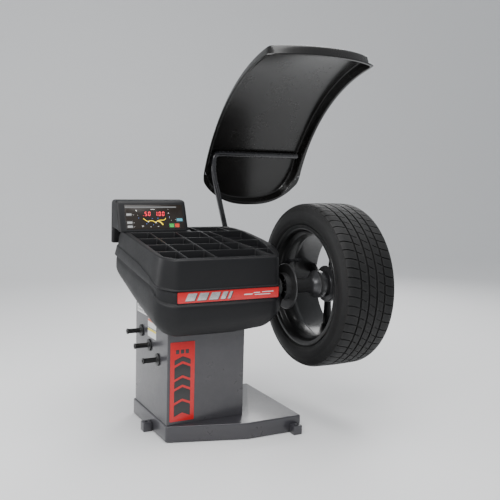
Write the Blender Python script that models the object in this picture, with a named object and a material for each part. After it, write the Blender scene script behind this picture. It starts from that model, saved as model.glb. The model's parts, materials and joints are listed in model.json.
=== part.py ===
"""Free-standing car wheel balancer with a clamped road wheel.

Units are metres, +Z is up. Sizes are written in the machine's own coordinates: x = 0 is the left
face of the column, y = 0 its front face and z = 0 the floor. The spindle runs along +X. One empty
carries every piece, so that the origin lies under the middle of the whole machine.
"""

import math

import bmesh
import bpy
from mathutils import Matrix, Vector

# ---------------------------------------------------------------- fits
SEAT_GAP = 0.0004          # between two pieces that touch
RUN_GAP = 0.0005           # between a turning piece and its seat
KEY_GAP = 0.0005           # around a key in its window

# ---------------------------------------------------------------- base and column
BASE_HEIGHT = 0.072
BASE_LIFT = 0.004          # skirt above the floor, carried by the anchor feet
BASE_WALL = 0.004
BASE_LEFT, BASE_RIGHT = -0.006, 0.590
BASE_FRONT, BASE_BACK = -0.106, 0.408
BASE_BEND_X = 0.328
FOOT_SIDE, FOOT_HEIGHT, FOOT_BOLT_RADIUS = 0.040, 0.040, 0.007
FOOT_LEFT_Y, FOOT_FRONT_X, FOOT_REAR_Y = 0.170, 0.553, 0.350

COLUMN_WIDTH, COLUMN_DEPTH, COLUMN_WALL = 0.355, 0.395, 0.003
COLUMN_RETURN = 0.022
COLUMN_TOP_FRONT, COLUMN_TOP_BACK = 0.548, 0.660
PANEL_THICKNESS = 0.002

# ---------------------------------------------------------------- spindle and wheel
AXIS_Y, AXIS_Z = 0.018, 0.628
BED_THICKNESS, SENSOR_HEIGHT, SENSOR_RADIUS = 0.008, 0.012, 0.014
HOUSING_LEFT, HOUSING_RIGHT, HOUSING_RADIUS, HOUSING_BORE = 0.250, 0.520, 0.046, 0.024
BEARING_OUTER, BEARING_INNER, BEARING_WIDTH = 0.036, 0.0175, 0.017
SPINDLE_LEFT, SPINDLE_RIGHT = 0.203, 0.938
SPINDLE_RADIUS, SHOULDER_RADIUS, PULLEY_SEAT_RADIUS = 0.0195, 0.022, 0.014
COVER_DISC_X, COVER_DISC_RADIUS, COVER_DISC_THICKNESS = 0.5605, 0.102, 0.007
SPIGOT_RADIUS, SPIGOT_WALL, SPIGOT_LENGTH = 0.060, 0.005, 0.026
HUB_LEFT, HUB_FACE_X = 0.570, 0.800
HUB_NECK_RADIUS, HUB_DRUM_RADIUS, HUB_FLANGE_RADIUS = 0.034, 0.0625, 0.083
RIM_RADIUS, RIM_FLANGE_HEIGHT = 0.254, 0.0175
RIM_LEFT, RIM_RIGHT, RIM_WALL = 0.644, 0.891, 0.006
RIM_HUB_RADIUS, RIM_BORE_RADIUS, RIM_HUB_THICKNESS = 0.075, 0.036, 0.030
RIM_BOLT_CIRCLE, RIM_BOLT_RADIUS, SPOKES = 0.0570, 0.0070, 5
SPOKE_FIRST_ANGLE = math.radians(8.0)
TYRE_RADIUS, TYRE_LEFT, TYRE_RIGHT = 0.3688, 0.635, 0.900
WHEEL_STEPS, TURNED_STEPS, SMALL_STEPS = 60, 40, 24
CUP_RADIUS, CUP_LENGTH = 0.0625, 0.034
NUT_RADIUS, NUT_LOBE, NUT_LOBES, NUT_LENGTH = 0.076, 0.008, 6, 0.030
LEVER_WIDTH, LEVER_TRAVEL_GAP, LEVER_SWING_ROOM = 0.018, 0.0008, 0.0015

# ---------------------------------------------------------------- belt drive
DRIVEN_RADIUS, MOTOR_PULLEY_RADIUS = 0.045, 0.0225
PULLEY_X, PULLEY_WIDTH, BELT_WIDTH, BELT_THICKNESS = 0.208, 0.030, 0.020, 0.003
MOTOR_Y, MOTOR_Z, MOTOR_RADIUS, MOTOR_LENGTH = 0.250, 0.582, 0.050, 0.130
MOTOR_SHAFT_RADIUS = 0.009
ENCODER_RADIUS, ENCODER_THICKNESS = 0.040, 0.002

# ---------------------------------------------------------------- plastic body
HOOD_WALL = 0.004
SEAM_GAP = 0.0030
TRAY_FRONT_Y, TRAY_FRONT_Z, TRAY_RISE = -0.088, 0.777, 0.139
TRAY_SLAB, POCKET_DEPTH, RIB = 0.038, 0.034, 0.009
TRAY_PITCH = 0.112
TRAY_ROW_FIRST = -0.060
TRAY_LONG_RIBS = (0.057, 0.184, 0.312)
STRIP_THICKNESS, STRIP_LEFT, STRIP_RIGHT, STRIP_LOW, STRIP_HIGH = 0.002, 0.004, 0.466, 0.603, 0.648
BAND_Y = -0.087
BADGE_LEFT, BADGE_RIGHT, BADGE_LOW, BADGE_HIGH, BADGE_THICKNESS = 0.012, 0.121, 0.086, 0.424, 0.0015

# ---------------------------------------------------------------- console and keys
CONSOLE_LEFT, CONSOLE_RIGHT = -0.080, 0.256
CONSOLE_FOOT_Y, CONSOLE_BACK_Y = 0.400, 0.526
CONSOLE_HEIGHT, CONSOLE_TILT = 0.150, math.radians(20.6)
CONSOLE_WALL = 0.005
DISPLAY_LEFT, DISPLAY_WIDTH, DISPLAY_HEIGHT, DISPLAY_THICKNESS = -0.044, 0.281, 0.116, 0.005
DISPLAY_FROM_FOOT = 0.012
KEY_PROUD, KEY_DEPTH, KEY_TRAVEL, KEY_COLUMN_INSET = 0.0012, 0.0052, 0.0010, 0.018

# ---------------------------------------------------------------- cone pegs
PEG_PLACES = ((0.314, 0.412), (0.213, 0.368), (0.109, 0.328))
PEG_FLANGE_RADIUS, PEG_FLANGE = 0.0265, 0.006
PEG_RADIUS, PEG_LENGTH, PEG_LIP_RADIUS, PEG_LIP, PEG_BORE = 0.0105, 0.070, 0.0125, 0.007, 0.006

# ---------------------------------------------------------------- wheel guard
PIVOT_Y, PIVOT_Z, PIVOT_RADIUS = 0.555, 0.830, 0.012
PIVOT_LEFT, PIVOT_RIGHT = 0.395, 0.545
PIVOT_BLOCK_LEFT, PIVOT_BLOCK_RIGHT, PIVOT_BLOCK_FRONT = 0.400, 0.492, 0.5215
GUARD_LEFT, GUARD_RIGHT = 0.400, 0.955
GUARD_ARC_Y, GUARD_ARC_Z, GUARD_ARC_RADIUS = -0.195, 0.820, 0.805
GUARD_LOW_ANGLE, GUARD_SIDE_ANGLE = math.radians(9.8), math.radians(18.0)
GUARD_TOP_ANGLE, GUARD_TOP_BOW = math.radians(79.0), math.radians(5.0)
GUARD_DEPTH, GUARD_LIP, GUARD_SLOPE, GUARD_SKIN = 0.044, 0.013, 0.010, 0.004
GUARD_COLUMNS, GUARD_ROWS = 9, 12
POST_STUB_LEFT, POST_STUB_RIGHT, POST_STUB_LOW, POST_STUB_HIGH = 0.412, 0.480, 0.782, 0.804
ARM_RADIUS, ARM_BOSS_WALL, ARM_BOSS_LENGTH = 0.0135, 0.009, 0.034
ARM_FOOT_X, ARM_SIDE_X, ARM_END_X = 0.521, 0.443, 0.920
ARM_KNEE_Z, ARM_BAR_Z = 1.118, 1.212
SPRING_GAP, SPRING_WIRE, SPRING_TURNS, SPRING_LENGTH, SPRING_ROOM = 0.0010, 0.0020, 5, 0.040, 0.007

# ---------------------------------------------------------------- distance gauge
GAUGE_Y, GAUGE_Z, GAUGE_RADIUS = 0.170, 0.668, 0.007
GAUGE_LEFT, GAUGE_RIGHT = 0.360, 0.5865
GUIDE_RIGHT, GUIDE_RADIUS = 0.530, 0.014
GAUGE_TIP_Y, GAUGE_TIP_Z, GAUGE_TIP_X = 0.000, 0.745, 0.628

MATERIALS = {}
FRAME = {}


# ================================================================ helpers
def finish(name, colour, roughness, metallic):
    """Make one plain material from a linear colour."""
    made = bpy.data.materials.new(name)
    made.use_nodes = True
    shader = made.node_tree.nodes["Principled BSDF"]
    shader.inputs["Base Color"].default_value = (*colour, 1.0)
    shader.inputs["Roughness"].default_value = roughness
    shader.inputs["Metallic"].default_value = metallic
    MATERIALS[name] = made


def make_finishes():
    """The finishes that the pieces share."""
    finish("gunmetal_paint", (0.075, 0.075, 0.085), 0.32, 0.1)
    finish("black_abs", (0.018, 0.018, 0.020), 0.55, 0.0)
    finish("gloss_black", (0.010, 0.010, 0.011), 0.22, 0.0)
    finish("red_film", (0.80, 0.03, 0.03), 0.40, 0.0)
    finish("ground_steel", (0.55, 0.56, 0.58), 0.28, 1.0)
    finish("black_steel", (0.02, 0.02, 0.022), 0.38, 0.6)
    finish("cast_iron", (0.10, 0.10, 0.10), 0.60, 0.8)
    finish("alloy_black", (0.012, 0.012, 0.013), 0.30, 0.4)
    finish("rubber", (0.022, 0.022, 0.024), 0.80, 0.0)
    finish("copper_motor", (0.10, 0.12, 0.15), 0.45, 0.5)
    finish("board_green", (0.01, 0.12, 0.05), 0.45, 0.0)
    finish("key_grey", (0.45, 0.45, 0.46), 0.45, 0.0)
    finish("key_green", (0.03, 0.55, 0.08), 0.40, 0.0)
    finish("key_red", (0.75, 0.04, 0.02), 0.40, 0.0)
    finish("key_cyan", (0.08, 0.50, 0.62), 0.40, 0.0)


def place_empty(name, location, rotation=(0.0, 0.0, 0.0), parent=None):
    """An empty that other pieces hang on."""
    empty = bpy.data.objects.new(name, None)
    bpy.context.collection.objects.link(empty)
    empty.location = location
    empty.rotation_euler = rotation
    empty.parent = parent
    return empty


def add(name, bm, material, origin=(0.0, 0.0, 0.0), parent=None, smooth=False):
    """Turn a bmesh given in its parent's coordinates into a named object with its own origin."""
    bmesh.ops.recalc_face_normals(bm, faces=bm.faces)
    bmesh.ops.translate(bm, vec=-Vector(origin), verts=bm.verts)
    mesh = bpy.data.meshes.new(name)
    bm.to_mesh(mesh)
    bm.free()
    if smooth:
        mesh.shade_smooth()
        mesh.set_sharp_from_angle(angle=math.radians(35))
    obj = bpy.data.objects.new(name, mesh)
    bpy.context.collection.objects.link(obj)
    obj.location = origin
    obj.parent = parent or FRAME["machine"]
    if material:
        mesh.materials.append(MATERIALS[material])
    return obj


def boolean(target, bm, operation="DIFFERENCE", parent=None):
    """Cut a hidden tool out of a piece, or join it on."""
    number = len(target.modifiers)
    tool = add(f"tool_{target.name}_{number}", bm, None, parent=parent)
    tool.hide_render = True
    tool.display_type = "WIRE"
    step = target.modifiers.new(f"{operation.lower()}_{number}", "BOOLEAN")
    step.operation = operation
    step.object = tool
    step.solver = "EXACT"


def round_edges(obj, width, segments=2, angle=40.0):
    """Bevel the sharp edges of a piece."""
    step = obj.modifiers.new("rounding", "BEVEL")
    step.width = width
    step.segments = segments
    step.limit_method = "ANGLE"
    step.angle_limit = math.radians(angle)
    step.use_clamp_overlap = True


def box(low, high):
    """A box between two corners."""
    bm = bmesh.new()
    bmesh.ops.create_cube(bm, size=1.0)
    low, high = Vector(low), Vector(high)
    bmesh.ops.scale(bm, vec=high - low, verts=bm.verts)
    bmesh.ops.translate(bm, vec=(low + high) / 2, verts=bm.verts)
    return bm


def boxes(*corner_pairs):
    """Several boxes in one mesh."""
    whole = bmesh.new()
    for low, high in corner_pairs:
        join(whole, box(low, high))
    return whole


def join(whole, extra):
    """Add one bmesh to another."""
    mesh = bpy.data.meshes.new("joining")
    extra.to_mesh(mesh)
    extra.free()
    whole.from_mesh(mesh)
    bpy.data.meshes.remove(mesh)
    return whole


def loft(rings):
    """A closed solid through rings that have the same number of points."""
    bm = bmesh.new()
    levels = [[bm.verts.new(point) for point in ring] for ring in rings]
    bm.faces.new(levels[0])
    bm.faces.new(levels[-1])
    for lower, upper in zip(levels, levels[1:]):
        for index, vertex in enumerate(lower):
            follow = (index + 1) % len(lower)
            bm.faces.new((vertex, lower[follow], upper[follow], upper[index]))
    bmesh.ops.triangulate(bm, faces=bm.faces)
    return bm


def prism(points, depth):
    """A flat outline carried along a vector."""
    depth = Vector(depth)
    return loft([points, [tuple(Vector(point) + depth) for point in points]])


def plate_z(outline, low, high):
    """An outline in x and y between two heights."""
    return prism([(x, y, low) for x, y in outline], (0.0, 0.0, high - low))


def plate_x(outline, left, right):
    """An outline in y and z between two x planes."""
    return prism([(left, y, z) for y, z in outline], (right - left, 0.0, 0.0))


def turned(profile, steps, centre=(AXIS_Y, AXIS_Z)):
    """Turn a closed profile of (x, radius) points about an axis along X."""
    bm = bmesh.new()
    y, z = centre
    on_axis = [radius < 1e-6 for _, radius in profile]
    verts = [bm.verts.new((x, y, z + radius)) for x, radius in profile]
    edges = []
    for index, vertex in enumerate(verts):
        follow = (index + 1) % len(verts)
        if on_axis[index] and on_axis[follow]:
            continue
        edges.append(bm.edges.new((vertex, verts[follow])))
    bmesh.ops.spin(bm, geom=verts + edges, cent=(0.0, y, z), axis=(1.0, 0.0, 0.0),
                   angle=2 * math.pi, steps=steps, use_merge=True, use_duplicate=False)
    bmesh.ops.remove_doubles(bm, verts=bm.verts, dist=1e-6)
    return bm


def rod_x(left, right, radius, centre, steps=SMALL_STEPS):
    """A plain cylinder along X."""
    return turned([(left, 0.0), (left, radius), (right, radius), (right, 0.0)], steps, centre)


def rod_z(low, high, radius, centre, steps=SMALL_STEPS):
    """A plain cylinder along Z."""
    bm = bmesh.new()
    bmesh.ops.create_cone(bm, cap_ends=True, segments=steps, radius1=radius, radius2=radius, depth=high - low)
    bmesh.ops.translate(bm, vec=(centre[0], centre[1], (low + high) / 2), verts=bm.verts)
    return bm


def inset(outline, distance):
    """Move the edges of a convex or concave outline inwards (outline counter-clockwise)."""
    moved = []
    count = len(outline)
    for index in range(count):
        before = Vector(outline[index - 1])
        here = Vector(outline[index])
        after = Vector(outline[(index + 1) % count])
        first = (here - before).normalized()
        second = (after - here).normalized()
        normal_one = Vector((-first.y, first.x))
        normal_two = Vector((-second.y, second.x))
        bisector = normal_one + normal_two
        moved.append(tuple(here + bisector * (distance * 2 / bisector.length_squared)))
    return moved


def steps_between(start, stop, count):
    """Evenly spaced values with both ends."""
    return [start + (stop - start) * index / (count - 1) for index in range(count)]


# ================================================================ base and column
def base_outline():
    """The base seen from above, counter-clockwise from its front left corner."""
    return [(BASE_LEFT, BASE_LEFT), (BASE_BEND_X, BASE_FRONT), (BASE_RIGHT, BASE_FRONT),
            (BASE_RIGHT, BASE_BACK), (BASE_LEFT, BASE_BACK)]


def build_base():
    """Folded steel base, open below, and its three anchor feet."""
    outline = base_outline()
    base = add("base_plate", plate_z(outline, BASE_LIFT, BASE_HEIGHT), "gunmetal_paint")
    round_edges(base, 0.004, 2)
    hollow = inset(outline, BASE_WALL)
    boolean(base, plate_z(hollow, -BASE_LIFT, BASE_HEIGHT - BASE_WALL))
    feet = {
        "anchor_foot_left": (BASE_LEFT - SEAT_GAP - FOOT_SIDE / 2, FOOT_LEFT_Y),
        "anchor_foot_front": (FOOT_FRONT_X, BASE_FRONT - SEAT_GAP - FOOT_SIDE / 2),
        "anchor_foot_rear": (BASE_RIGHT + SEAT_GAP + FOOT_SIDE / 2, FOOT_REAR_Y),
    }
    for name, (x, y) in feet.items():
        half = FOOT_SIDE / 2
        foot = add(name, box((x - half, y - half, 0.0), (x + half, y + half, FOOT_HEIGHT)), "gunmetal_paint")
        round_edges(foot, 0.002, 2)
        boolean(foot, rod_z(-0.01, FOOT_HEIGHT + 0.01, FOOT_BOLT_RADIUS, (x, y)))


def column_top(y):
    """Height of the sloping top edge of the column."""
    return COLUMN_TOP_FRONT + (COLUMN_TOP_BACK - COLUMN_TOP_FRONT) * y / COLUMN_DEPTH


def build_column():
    """Folded column with returned rear edges, and its rear panel."""
    width, depth, wall, lip = COLUMN_WIDTH, COLUMN_DEPTH, COLUMN_WALL, COLUMN_RETURN
    low = BASE_HEIGHT + SEAT_GAP
    outline = [(0.0, 0.0), (width, 0.0), (width, depth), (0.0, depth)]
    rings = [[(x, y, low) for x, y in outline], [(x, y, column_top(y)) for x, y in outline]]
    column = add("column_shell", loft(rings), "gunmetal_paint")
    boolean(column, box((wall, wall, low - 0.01), (width - wall, depth - wall, COLUMN_TOP_BACK + 0.01)))
    boolean(column, box((lip, depth - 2 * wall, low - 0.02),
                        (width - lip, depth + wall, COLUMN_TOP_BACK + 0.02)))

    back = depth + SEAT_GAP
    panel = add("rear_panel", box((0.002, back, low + 0.010), (width - 0.002, back + PANEL_THICKNESS,
                                                             COLUMN_TOP_BACK - 0.006)), "gunmetal_paint")
    slots = [((0.100, back - 0.01, 0.200 + 0.022 * row), (0.255, back + 0.01, 0.207 + 0.022 * row))
             for row in range(6)]
    boolean(panel, boxes(*slots))
    inlet = inlet_window()
    switch = switch_window()
    boolean(panel, boxes(*[((left, back - 0.01, bottom), (right, back + 0.01, top))
                           for left, right, bottom, top in (inlet, switch)]))


def inlet_window():
    """Left, right, bottom and top of the mains inlet's cut-out."""
    return 0.070, 0.100, 0.420, 0.444


def switch_window():
    """Left, right, bottom and top of the mains switch's cut-out."""
    return 0.120, 0.142, 0.418, 0.446


def build_mains():
    """Mains inlet and rocker switch on the rear panel."""
    back = COLUMN_DEPTH + SEAT_GAP
    outside = back + PANEL_THICKNESS + SEAT_GAP
    left, right, bottom, top = inlet_window()
    inlet = add("power_inlet", box((left + KEY_GAP, back - 0.022, bottom + KEY_GAP),
                                   (right - KEY_GAP, outside + 0.001, top - KEY_GAP)), "black_abs")
    boolean(inlet, box((left - 0.008, outside, bottom - 0.004),
                       (right + 0.008, outside + 0.003, top + 0.004)),
            "UNION")
    boolean(inlet, box((left + 0.003, back - 0.016, bottom + 0.004),
                       (right - 0.003, outside + 0.01, top - 0.004)))

    left, right, bottom, top = switch_window()
    middle = (bottom + top) / 2
    half = (top - bottom) / 2 - 0.001
    front = back + PANEL_THICKNESS
    profile = [(back - 0.006, middle - half * 0.6), (back - 0.006, middle + half * 0.6),
               (front + 0.001, middle + half * 0.93), (front + 0.0035, middle + half * 0.9),
               (front + 0.0010, middle), (front + 0.0035, middle - half * 0.9),
               (front + 0.001, middle - half * 0.93)]
    rocker = plate_x(profile, left + KEY_GAP, right - KEY_GAP)
    pivot = (0.0, front - 0.001, middle)
    bmesh.ops.rotate(rocker, cent=pivot, matrix=Matrix.Rotation(math.radians(-7), 3, "X"), verts=rocker.verts)
    add("mains_switch", rocker, "black_abs", origin=pivot)


def bed_top():
    """Height of the machined bed."""
    return column_top(COLUMN_WALL) + SEAT_GAP + BED_THICKNESS


def build_spindle_bed():
    """Bed plate, force sensors, housing and bearings."""
    left, right = COLUMN_WALL + 0.001, COLUMN_WIDTH - COLUMN_WALL - 0.001
    top = bed_top()
    bed = add("bed_plate", box((left, -0.048, top - BED_THICKNESS), (right, 0.100, top)), "black_steel")
    round_edges(bed, 0.001, 1)
    sensor_top = top + SEAT_GAP + SENSOR_HEIGHT
    for name, x in (("force_sensor_inner", 0.285), ("force_sensor_outer", 0.325)):
        add(name, rod_z(top + SEAT_GAP, sensor_top, SENSOR_RADIUS, (x, AXIS_Y)), "ground_steel", smooth=True)
    bore = [(HOUSING_LEFT, BEARING_OUTER + SEAT_GAP), (HOUSING_LEFT, HOUSING_RADIUS),
            (HOUSING_RIGHT, HOUSING_RADIUS), (HOUSING_RIGHT, BEARING_OUTER + SEAT_GAP),
            (HOUSING_RIGHT - BEARING_WIDTH - 0.002, BEARING_OUTER + SEAT_GAP),
            (HOUSING_RIGHT - BEARING_WIDTH - 0.002, HOUSING_BORE),
            (HOUSING_LEFT + BEARING_WIDTH + 0.002, HOUSING_BORE),
            (HOUSING_LEFT + BEARING_WIDTH + 0.002, BEARING_OUTER + SEAT_GAP)]
    housing = add("spindle_housing", turned(bore, TURNED_STEPS), "cast_iron", smooth=True)
    foot_top = AXIS_Z - HOUSING_RADIUS + 0.006
    boolean(housing, box((0.268, -0.044, sensor_top + SEAT_GAP), (0.345, 0.080, foot_top)), "UNION")
    for name, x in (("spindle_bearing_rear", HOUSING_LEFT + 0.0015),
                    ("spindle_bearing_front", HOUSING_RIGHT - BEARING_WIDTH - 0.0015)):
        ring = [(x, BEARING_INNER), (x, BEARING_OUTER), (x + BEARING_WIDTH, BEARING_OUTER),
                (x + BEARING_WIDTH, BEARING_INNER)]
        add(name, turned(ring, TURNED_STEPS), "ground_steel", smooth=True)
    left, right, edge = COVER_DISC_X, COVER_DISC_X + COVER_DISC_THICKNESS, COVER_DISC_RADIUS
    disc = [(left - SPIGOT_LENGTH, SPIGOT_RADIUS - SPIGOT_WALL), (left - SPIGOT_LENGTH, SPIGOT_RADIUS),
            (left, SPIGOT_RADIUS), (left, edge - 0.003), (left + 0.003, edge), (right - 0.001, edge),
            (right, edge - 0.001), (right, edge - 0.008), (right - 0.003, edge - 0.010),
            (right - 0.003, 0.030), (left, 0.030), (left, SPIGOT_RADIUS - SPIGOT_WALL)]
    add("spindle_cover_disc", turned(disc, TURNED_STEPS), "black_steel", smooth=True)


# ================================================================ rotor
def build_rotor():
    """Everything that turns with the spindle."""
    origin = (0.0, AXIS_Y, AXIS_Z)
    seat = BEARING_INNER - SEAT_GAP
    rear_end = HOUSING_LEFT + BEARING_WIDTH + 0.004
    front_start = HOUSING_RIGHT - BEARING_WIDTH - 0.004
    step = HUB_FACE_X - 0.040
    profile = [(SPINDLE_LEFT, 0.0), (SPINDLE_LEFT, PULLEY_SEAT_RADIUS - 0.001),
               (SPINDLE_LEFT + 0.001, PULLEY_SEAT_RADIUS), (HOUSING_LEFT - 0.004, PULLEY_SEAT_RADIUS),
               (HOUSING_LEFT - 0.004, seat), (rear_end, seat), (rear_end, 0.021), (front_start, 0.021),
               (front_start, seat), (HOUSING_RIGHT + 0.002, seat), (HOUSING_RIGHT + 0.002, SHOULDER_RADIUS),
               (step, SHOULDER_RADIUS), (step, SPINDLE_RADIUS), (SPINDLE_RIGHT - 0.004, SPINDLE_RADIUS),
               (SPINDLE_RIGHT, SPINDLE_RADIUS - 0.004), (SPINDLE_RIGHT, 0.0)]
    add("spindle_shaft", turned(profile, TURNED_STEPS), "ground_steel", origin, smooth=True)

    bore = SHOULDER_RADIUS + SEAT_GAP
    face, drum, neck = HUB_FACE_X, HUB_DRUM_RADIUS, HUB_NECK_RADIUS
    hub = [(HUB_LEFT, bore), (HUB_LEFT, neck - 0.002), (HUB_LEFT + 0.002, neck), (0.690, neck),
           (0.712, drum - 0.004), (0.716, drum), (0.745, drum), (0.749, drum - 0.004),
           (face - 0.030, drum - 0.006),
           (face - 0.026, HUB_FLANGE_RADIUS - 0.003), (face - 0.023, HUB_FLANGE_RADIUS),
           (face - 0.003, HUB_FLANGE_RADIUS), (face, HUB_FLANGE_RADIUS - 0.003), (face, 0.052),
           (face - 0.030, 0.050), (face - 0.042, 0.030), (face - 0.042, bore)]
    add("hub_flange", turned(hub, TURNED_STEPS), "black_steel", origin, smooth=True)

    inner = SPINDLE_RADIUS + RUN_GAP
    wide, narrow = RIM_BORE_RADIUS + 0.009, RIM_BORE_RADIUS - 0.007
    cone = [(face - 0.026, inner), (face - 0.026, wide), (face - 0.018, wide), (face + 0.012, narrow),
            (face + 0.014, narrow - 0.002), (face + 0.014, inner)]
    add("centring_cone", turned(cone, TURNED_STEPS), "ground_steel", origin, smooth=True)

    grip = PULLEY_SEAT_RADIUS + SEAT_GAP
    x, wide = PULLEY_X, PULLEY_WIDTH
    pulley = [(x, grip), (x, DRIVEN_RADIUS + 0.004), (x + 0.003, DRIVEN_RADIUS + 0.004),
              (x + 0.004, DRIVEN_RADIUS),
              (x + wide - 0.004, DRIVEN_RADIUS), (x + wide - 0.003, DRIVEN_RADIUS + 0.004),
              (x + wide, DRIVEN_RADIUS + 0.004), (x + wide, grip)]
    add("driven_pulley", turned(pulley, TURNED_STEPS), "ground_steel", origin, smooth=True)
    x = PULLEY_X + PULLEY_WIDTH + 0.002
    encoder = [(x, grip), (x, ENCODER_RADIUS), (x + ENCODER_THICKNESS, ENCODER_RADIUS),
               (x + ENCODER_THICKNESS, grip)]
    add("encoder_disc", turned(encoder, TURNED_STEPS), "black_steel", origin, smooth=True)


def build_wheel():
    """Alloy rim with five spokes, and its tyre."""
    origin = (0.0, AXIS_Y, AXIS_Z)
    left, right, wall = RIM_LEFT, RIM_RIGHT, RIM_WALL
    seat, lip = RIM_RADIUS, RIM_RADIUS + RIM_FLANGE_HEIGHT
    drop = RIM_RADIUS - 0.018
    barrel = [(left, lip), (left + 0.005, lip), (left + 0.007, seat + 0.006), (left + 0.010, seat),
              (left + 0.034, seat - 0.001), (left + 0.052, drop), (left + 0.090, drop),
              (left + 0.112, seat - 0.004),
              (right - 0.030, seat - 0.001), (right - 0.010, seat), (right - 0.007, seat + 0.006),
              (right - 0.005, lip), (right, lip), (right, seat - 0.001), (right - 0.012, seat - wall - 0.002),
              (left + 0.114, seat - wall - 0.004), (left + 0.092, drop - wall), (left + 0.050, drop - wall),
              (left + 0.032, seat - wall - 0.001), (left + 0.012, seat - wall), (left, seat + 0.006)]
    rim = add("wheel_rim", turned(barrel, WHEEL_STEPS), "alloy_black", origin, smooth=True)
    face = HUB_FACE_X + SEAT_GAP
    outer = face + RIM_HUB_THICKNESS
    boss = [(face, RIM_BORE_RADIUS), (face, RIM_HUB_RADIUS - 0.002), (face + 0.002, RIM_HUB_RADIUS),
            (outer - 0.004, RIM_HUB_RADIUS), (outer, RIM_HUB_RADIUS - 0.004), (outer, RIM_BORE_RADIUS)]
    boolean(rim, spokes(face, outer), "UNION")
    boolean(rim, turned(boss, TURNED_STEPS), "UNION")
    holes = bmesh.new()
    for number in range(SPOKES):
        angle = SPOKE_FIRST_ANGLE + math.pi / SPOKES + 2 * math.pi * number / SPOKES
        centre = (AXIS_Y + RIM_BOLT_CIRCLE * math.cos(angle), AXIS_Z + RIM_BOLT_CIRCLE * math.sin(angle))
        join(holes, rod_x(face - 0.01, outer + 0.01, RIM_BOLT_RADIUS, centre, 12))
    boolean(rim, holes)

    x0, x1, top = TYRE_LEFT, TYRE_RIGHT, TYRE_RADIUS
    bead = RIM_RADIUS + 0.001
    flank = lip + 0.003
    tyre = [(left + 0.0125, bead), (left + 0.0090, bead + 0.006), (left + 0.0065, flank - 0.004),
            (left + 0.002, flank + 0.002), (x0 + 0.003, lip + 0.018), (x0, lip + 0.038),
            (x0 + 0.004, lip + 0.060), (x0 + 0.016, top - 0.016), (x0 + 0.032, top - 0.006),
            (x0 + 0.075, top - 0.001), ((x0 + x1) / 2, top),
            (x1 - 0.075, top - 0.001), (x1 - 0.032, top - 0.006), (x1 - 0.016, top - 0.016),
            (x1 - 0.004, lip + 0.060), (x1, lip + 0.038), (x1 - 0.003, lip + 0.018),
            (right - 0.002, flank + 0.002),
            (right - 0.0065, flank - 0.004), (right - 0.0090, bead + 0.006), (right - 0.0125, bead),
            (right - 0.028, bead), (right - 0.022, lip + 0.004), (x1 - 0.012, lip + 0.036),
            (x1 - 0.024, top - 0.024), ((x0 + x1) / 2, top - 0.013), (x0 + 0.024, top - 0.024),
            (x0 + 0.012, lip + 0.036), (left + 0.022, lip + 0.004), (left + 0.028, bead)]
    add("wheel_tyre", turned(tyre, WHEEL_STEPS), "rubber", origin, smooth=True)


def spokes(face, outer):
    """Five tapered spokes from the hub to the barrel, dished outwards."""
    whole = bmesh.new()
    root, tip = RIM_HUB_RADIUS - 0.010, RIM_RADIUS - RIM_WALL + 0.001
    for number in range(SPOKES):
        rings = []
        for radius, half, x_back, x_front in ((root, 0.019, face + 0.001, outer - 0.006),
                                              (0.150, 0.017, face + 0.022, face + 0.052),
                                              (tip, 0.027, RIM_RIGHT - 0.040, RIM_RIGHT - 0.012)):
            rings.append([(x_back, -half * 0.7, radius), (x_back, half * 0.7, radius),
                          (x_front, half, radius), (x_front, -half, radius)])
        spoke = loft(rings)
        angle = SPOKE_FIRST_ANGLE + 2 * math.pi * number / SPOKES
        bmesh.ops.rotate(spoke, cent=(0, 0, 0), matrix=Matrix.Rotation(angle - math.pi / 2, 3, "X"),
                         verts=spoke.verts)
        bmesh.ops.translate(spoke, vec=(0.0, AXIS_Y, AXIS_Z), verts=spoke.verts)
        join(whole, spoke)
    return whole


def build_quick_nut():
    """Pressure cup, quick nut and its release lever, outside the wheel."""
    origin = (0.0, AXIS_Y, AXIS_Z)
    inner = SPINDLE_RADIUS + RUN_GAP
    left = HUB_FACE_X + RIM_HUB_THICKNESS + 2 * SEAT_GAP
    right = left + CUP_LENGTH
    cup = [(left, CUP_RADIUS - 0.010), (left, CUP_RADIUS), (left + 0.012, CUP_RADIUS), (right - 0.006, 0.044),
           (right, 0.040), (right, inner), (right - 0.012, inner), (right - 0.014, 0.036),
           (left + 0.010, CUP_RADIUS - 0.012)]
    add("pressure_cup", turned(cup, TURNED_STEPS), "black_abs", origin, smooth=True)

    start = right + SEAT_GAP
    end = start + NUT_LENGTH
    sleeve = [(start, 0.0), (start, 0.036), (start + 0.004, 0.038), (end, 0.038), (end + 0.004, 0.034),
              (end + 0.004, 0.0)]
    nut = add("quick_nut", turned(sleeve, TURNED_STEPS), "black_abs", origin, smooth=True)
    outline = []
    points = 72
    for index in range(points):
        angle = 2 * math.pi * index / points
        radius = NUT_RADIUS + NUT_LOBE * math.cos(NUT_LOBES * angle)
        outline.append((AXIS_Y + radius * math.cos(angle), AXIS_Z + radius * math.sin(angle)))
    wheel = plate_x(outline, start + 0.008, end - 0.002)
    boolean(nut, wheel, "UNION")
    bore = rod_x(start - 0.01, end + 0.02, inner, (AXIS_Y, AXIS_Z), TURNED_STEPS)
    boolean(nut, bore)
    low, high = AXIS_Z + 0.042, AXIS_Z + 0.066
    half = LEVER_WIDTH / 2
    gap = LEVER_TRAVEL_GAP
    floor = end - 0.014
    boolean(nut, box((floor, AXIS_Y - half - gap, low - gap), (end + 0.02, AXIS_Y + half + gap, high + gap)))
    tip = high - LEVER_SWING_ROOM
    lever = [(end + 0.003, low), (end + 0.003, low + 0.008), (end + 0.001, tip), (floor + 0.007, tip),
             (floor + gap, low + 0.006), (floor + gap, low)]
    bm = prism([(x, AXIS_Y - half, z) for x, z in lever], (0.0, LEVER_WIDTH, 0.0))
    add("release_lever", bm, "gloss_black", (floor + 0.005, AXIS_Y, low + 0.003))


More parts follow.
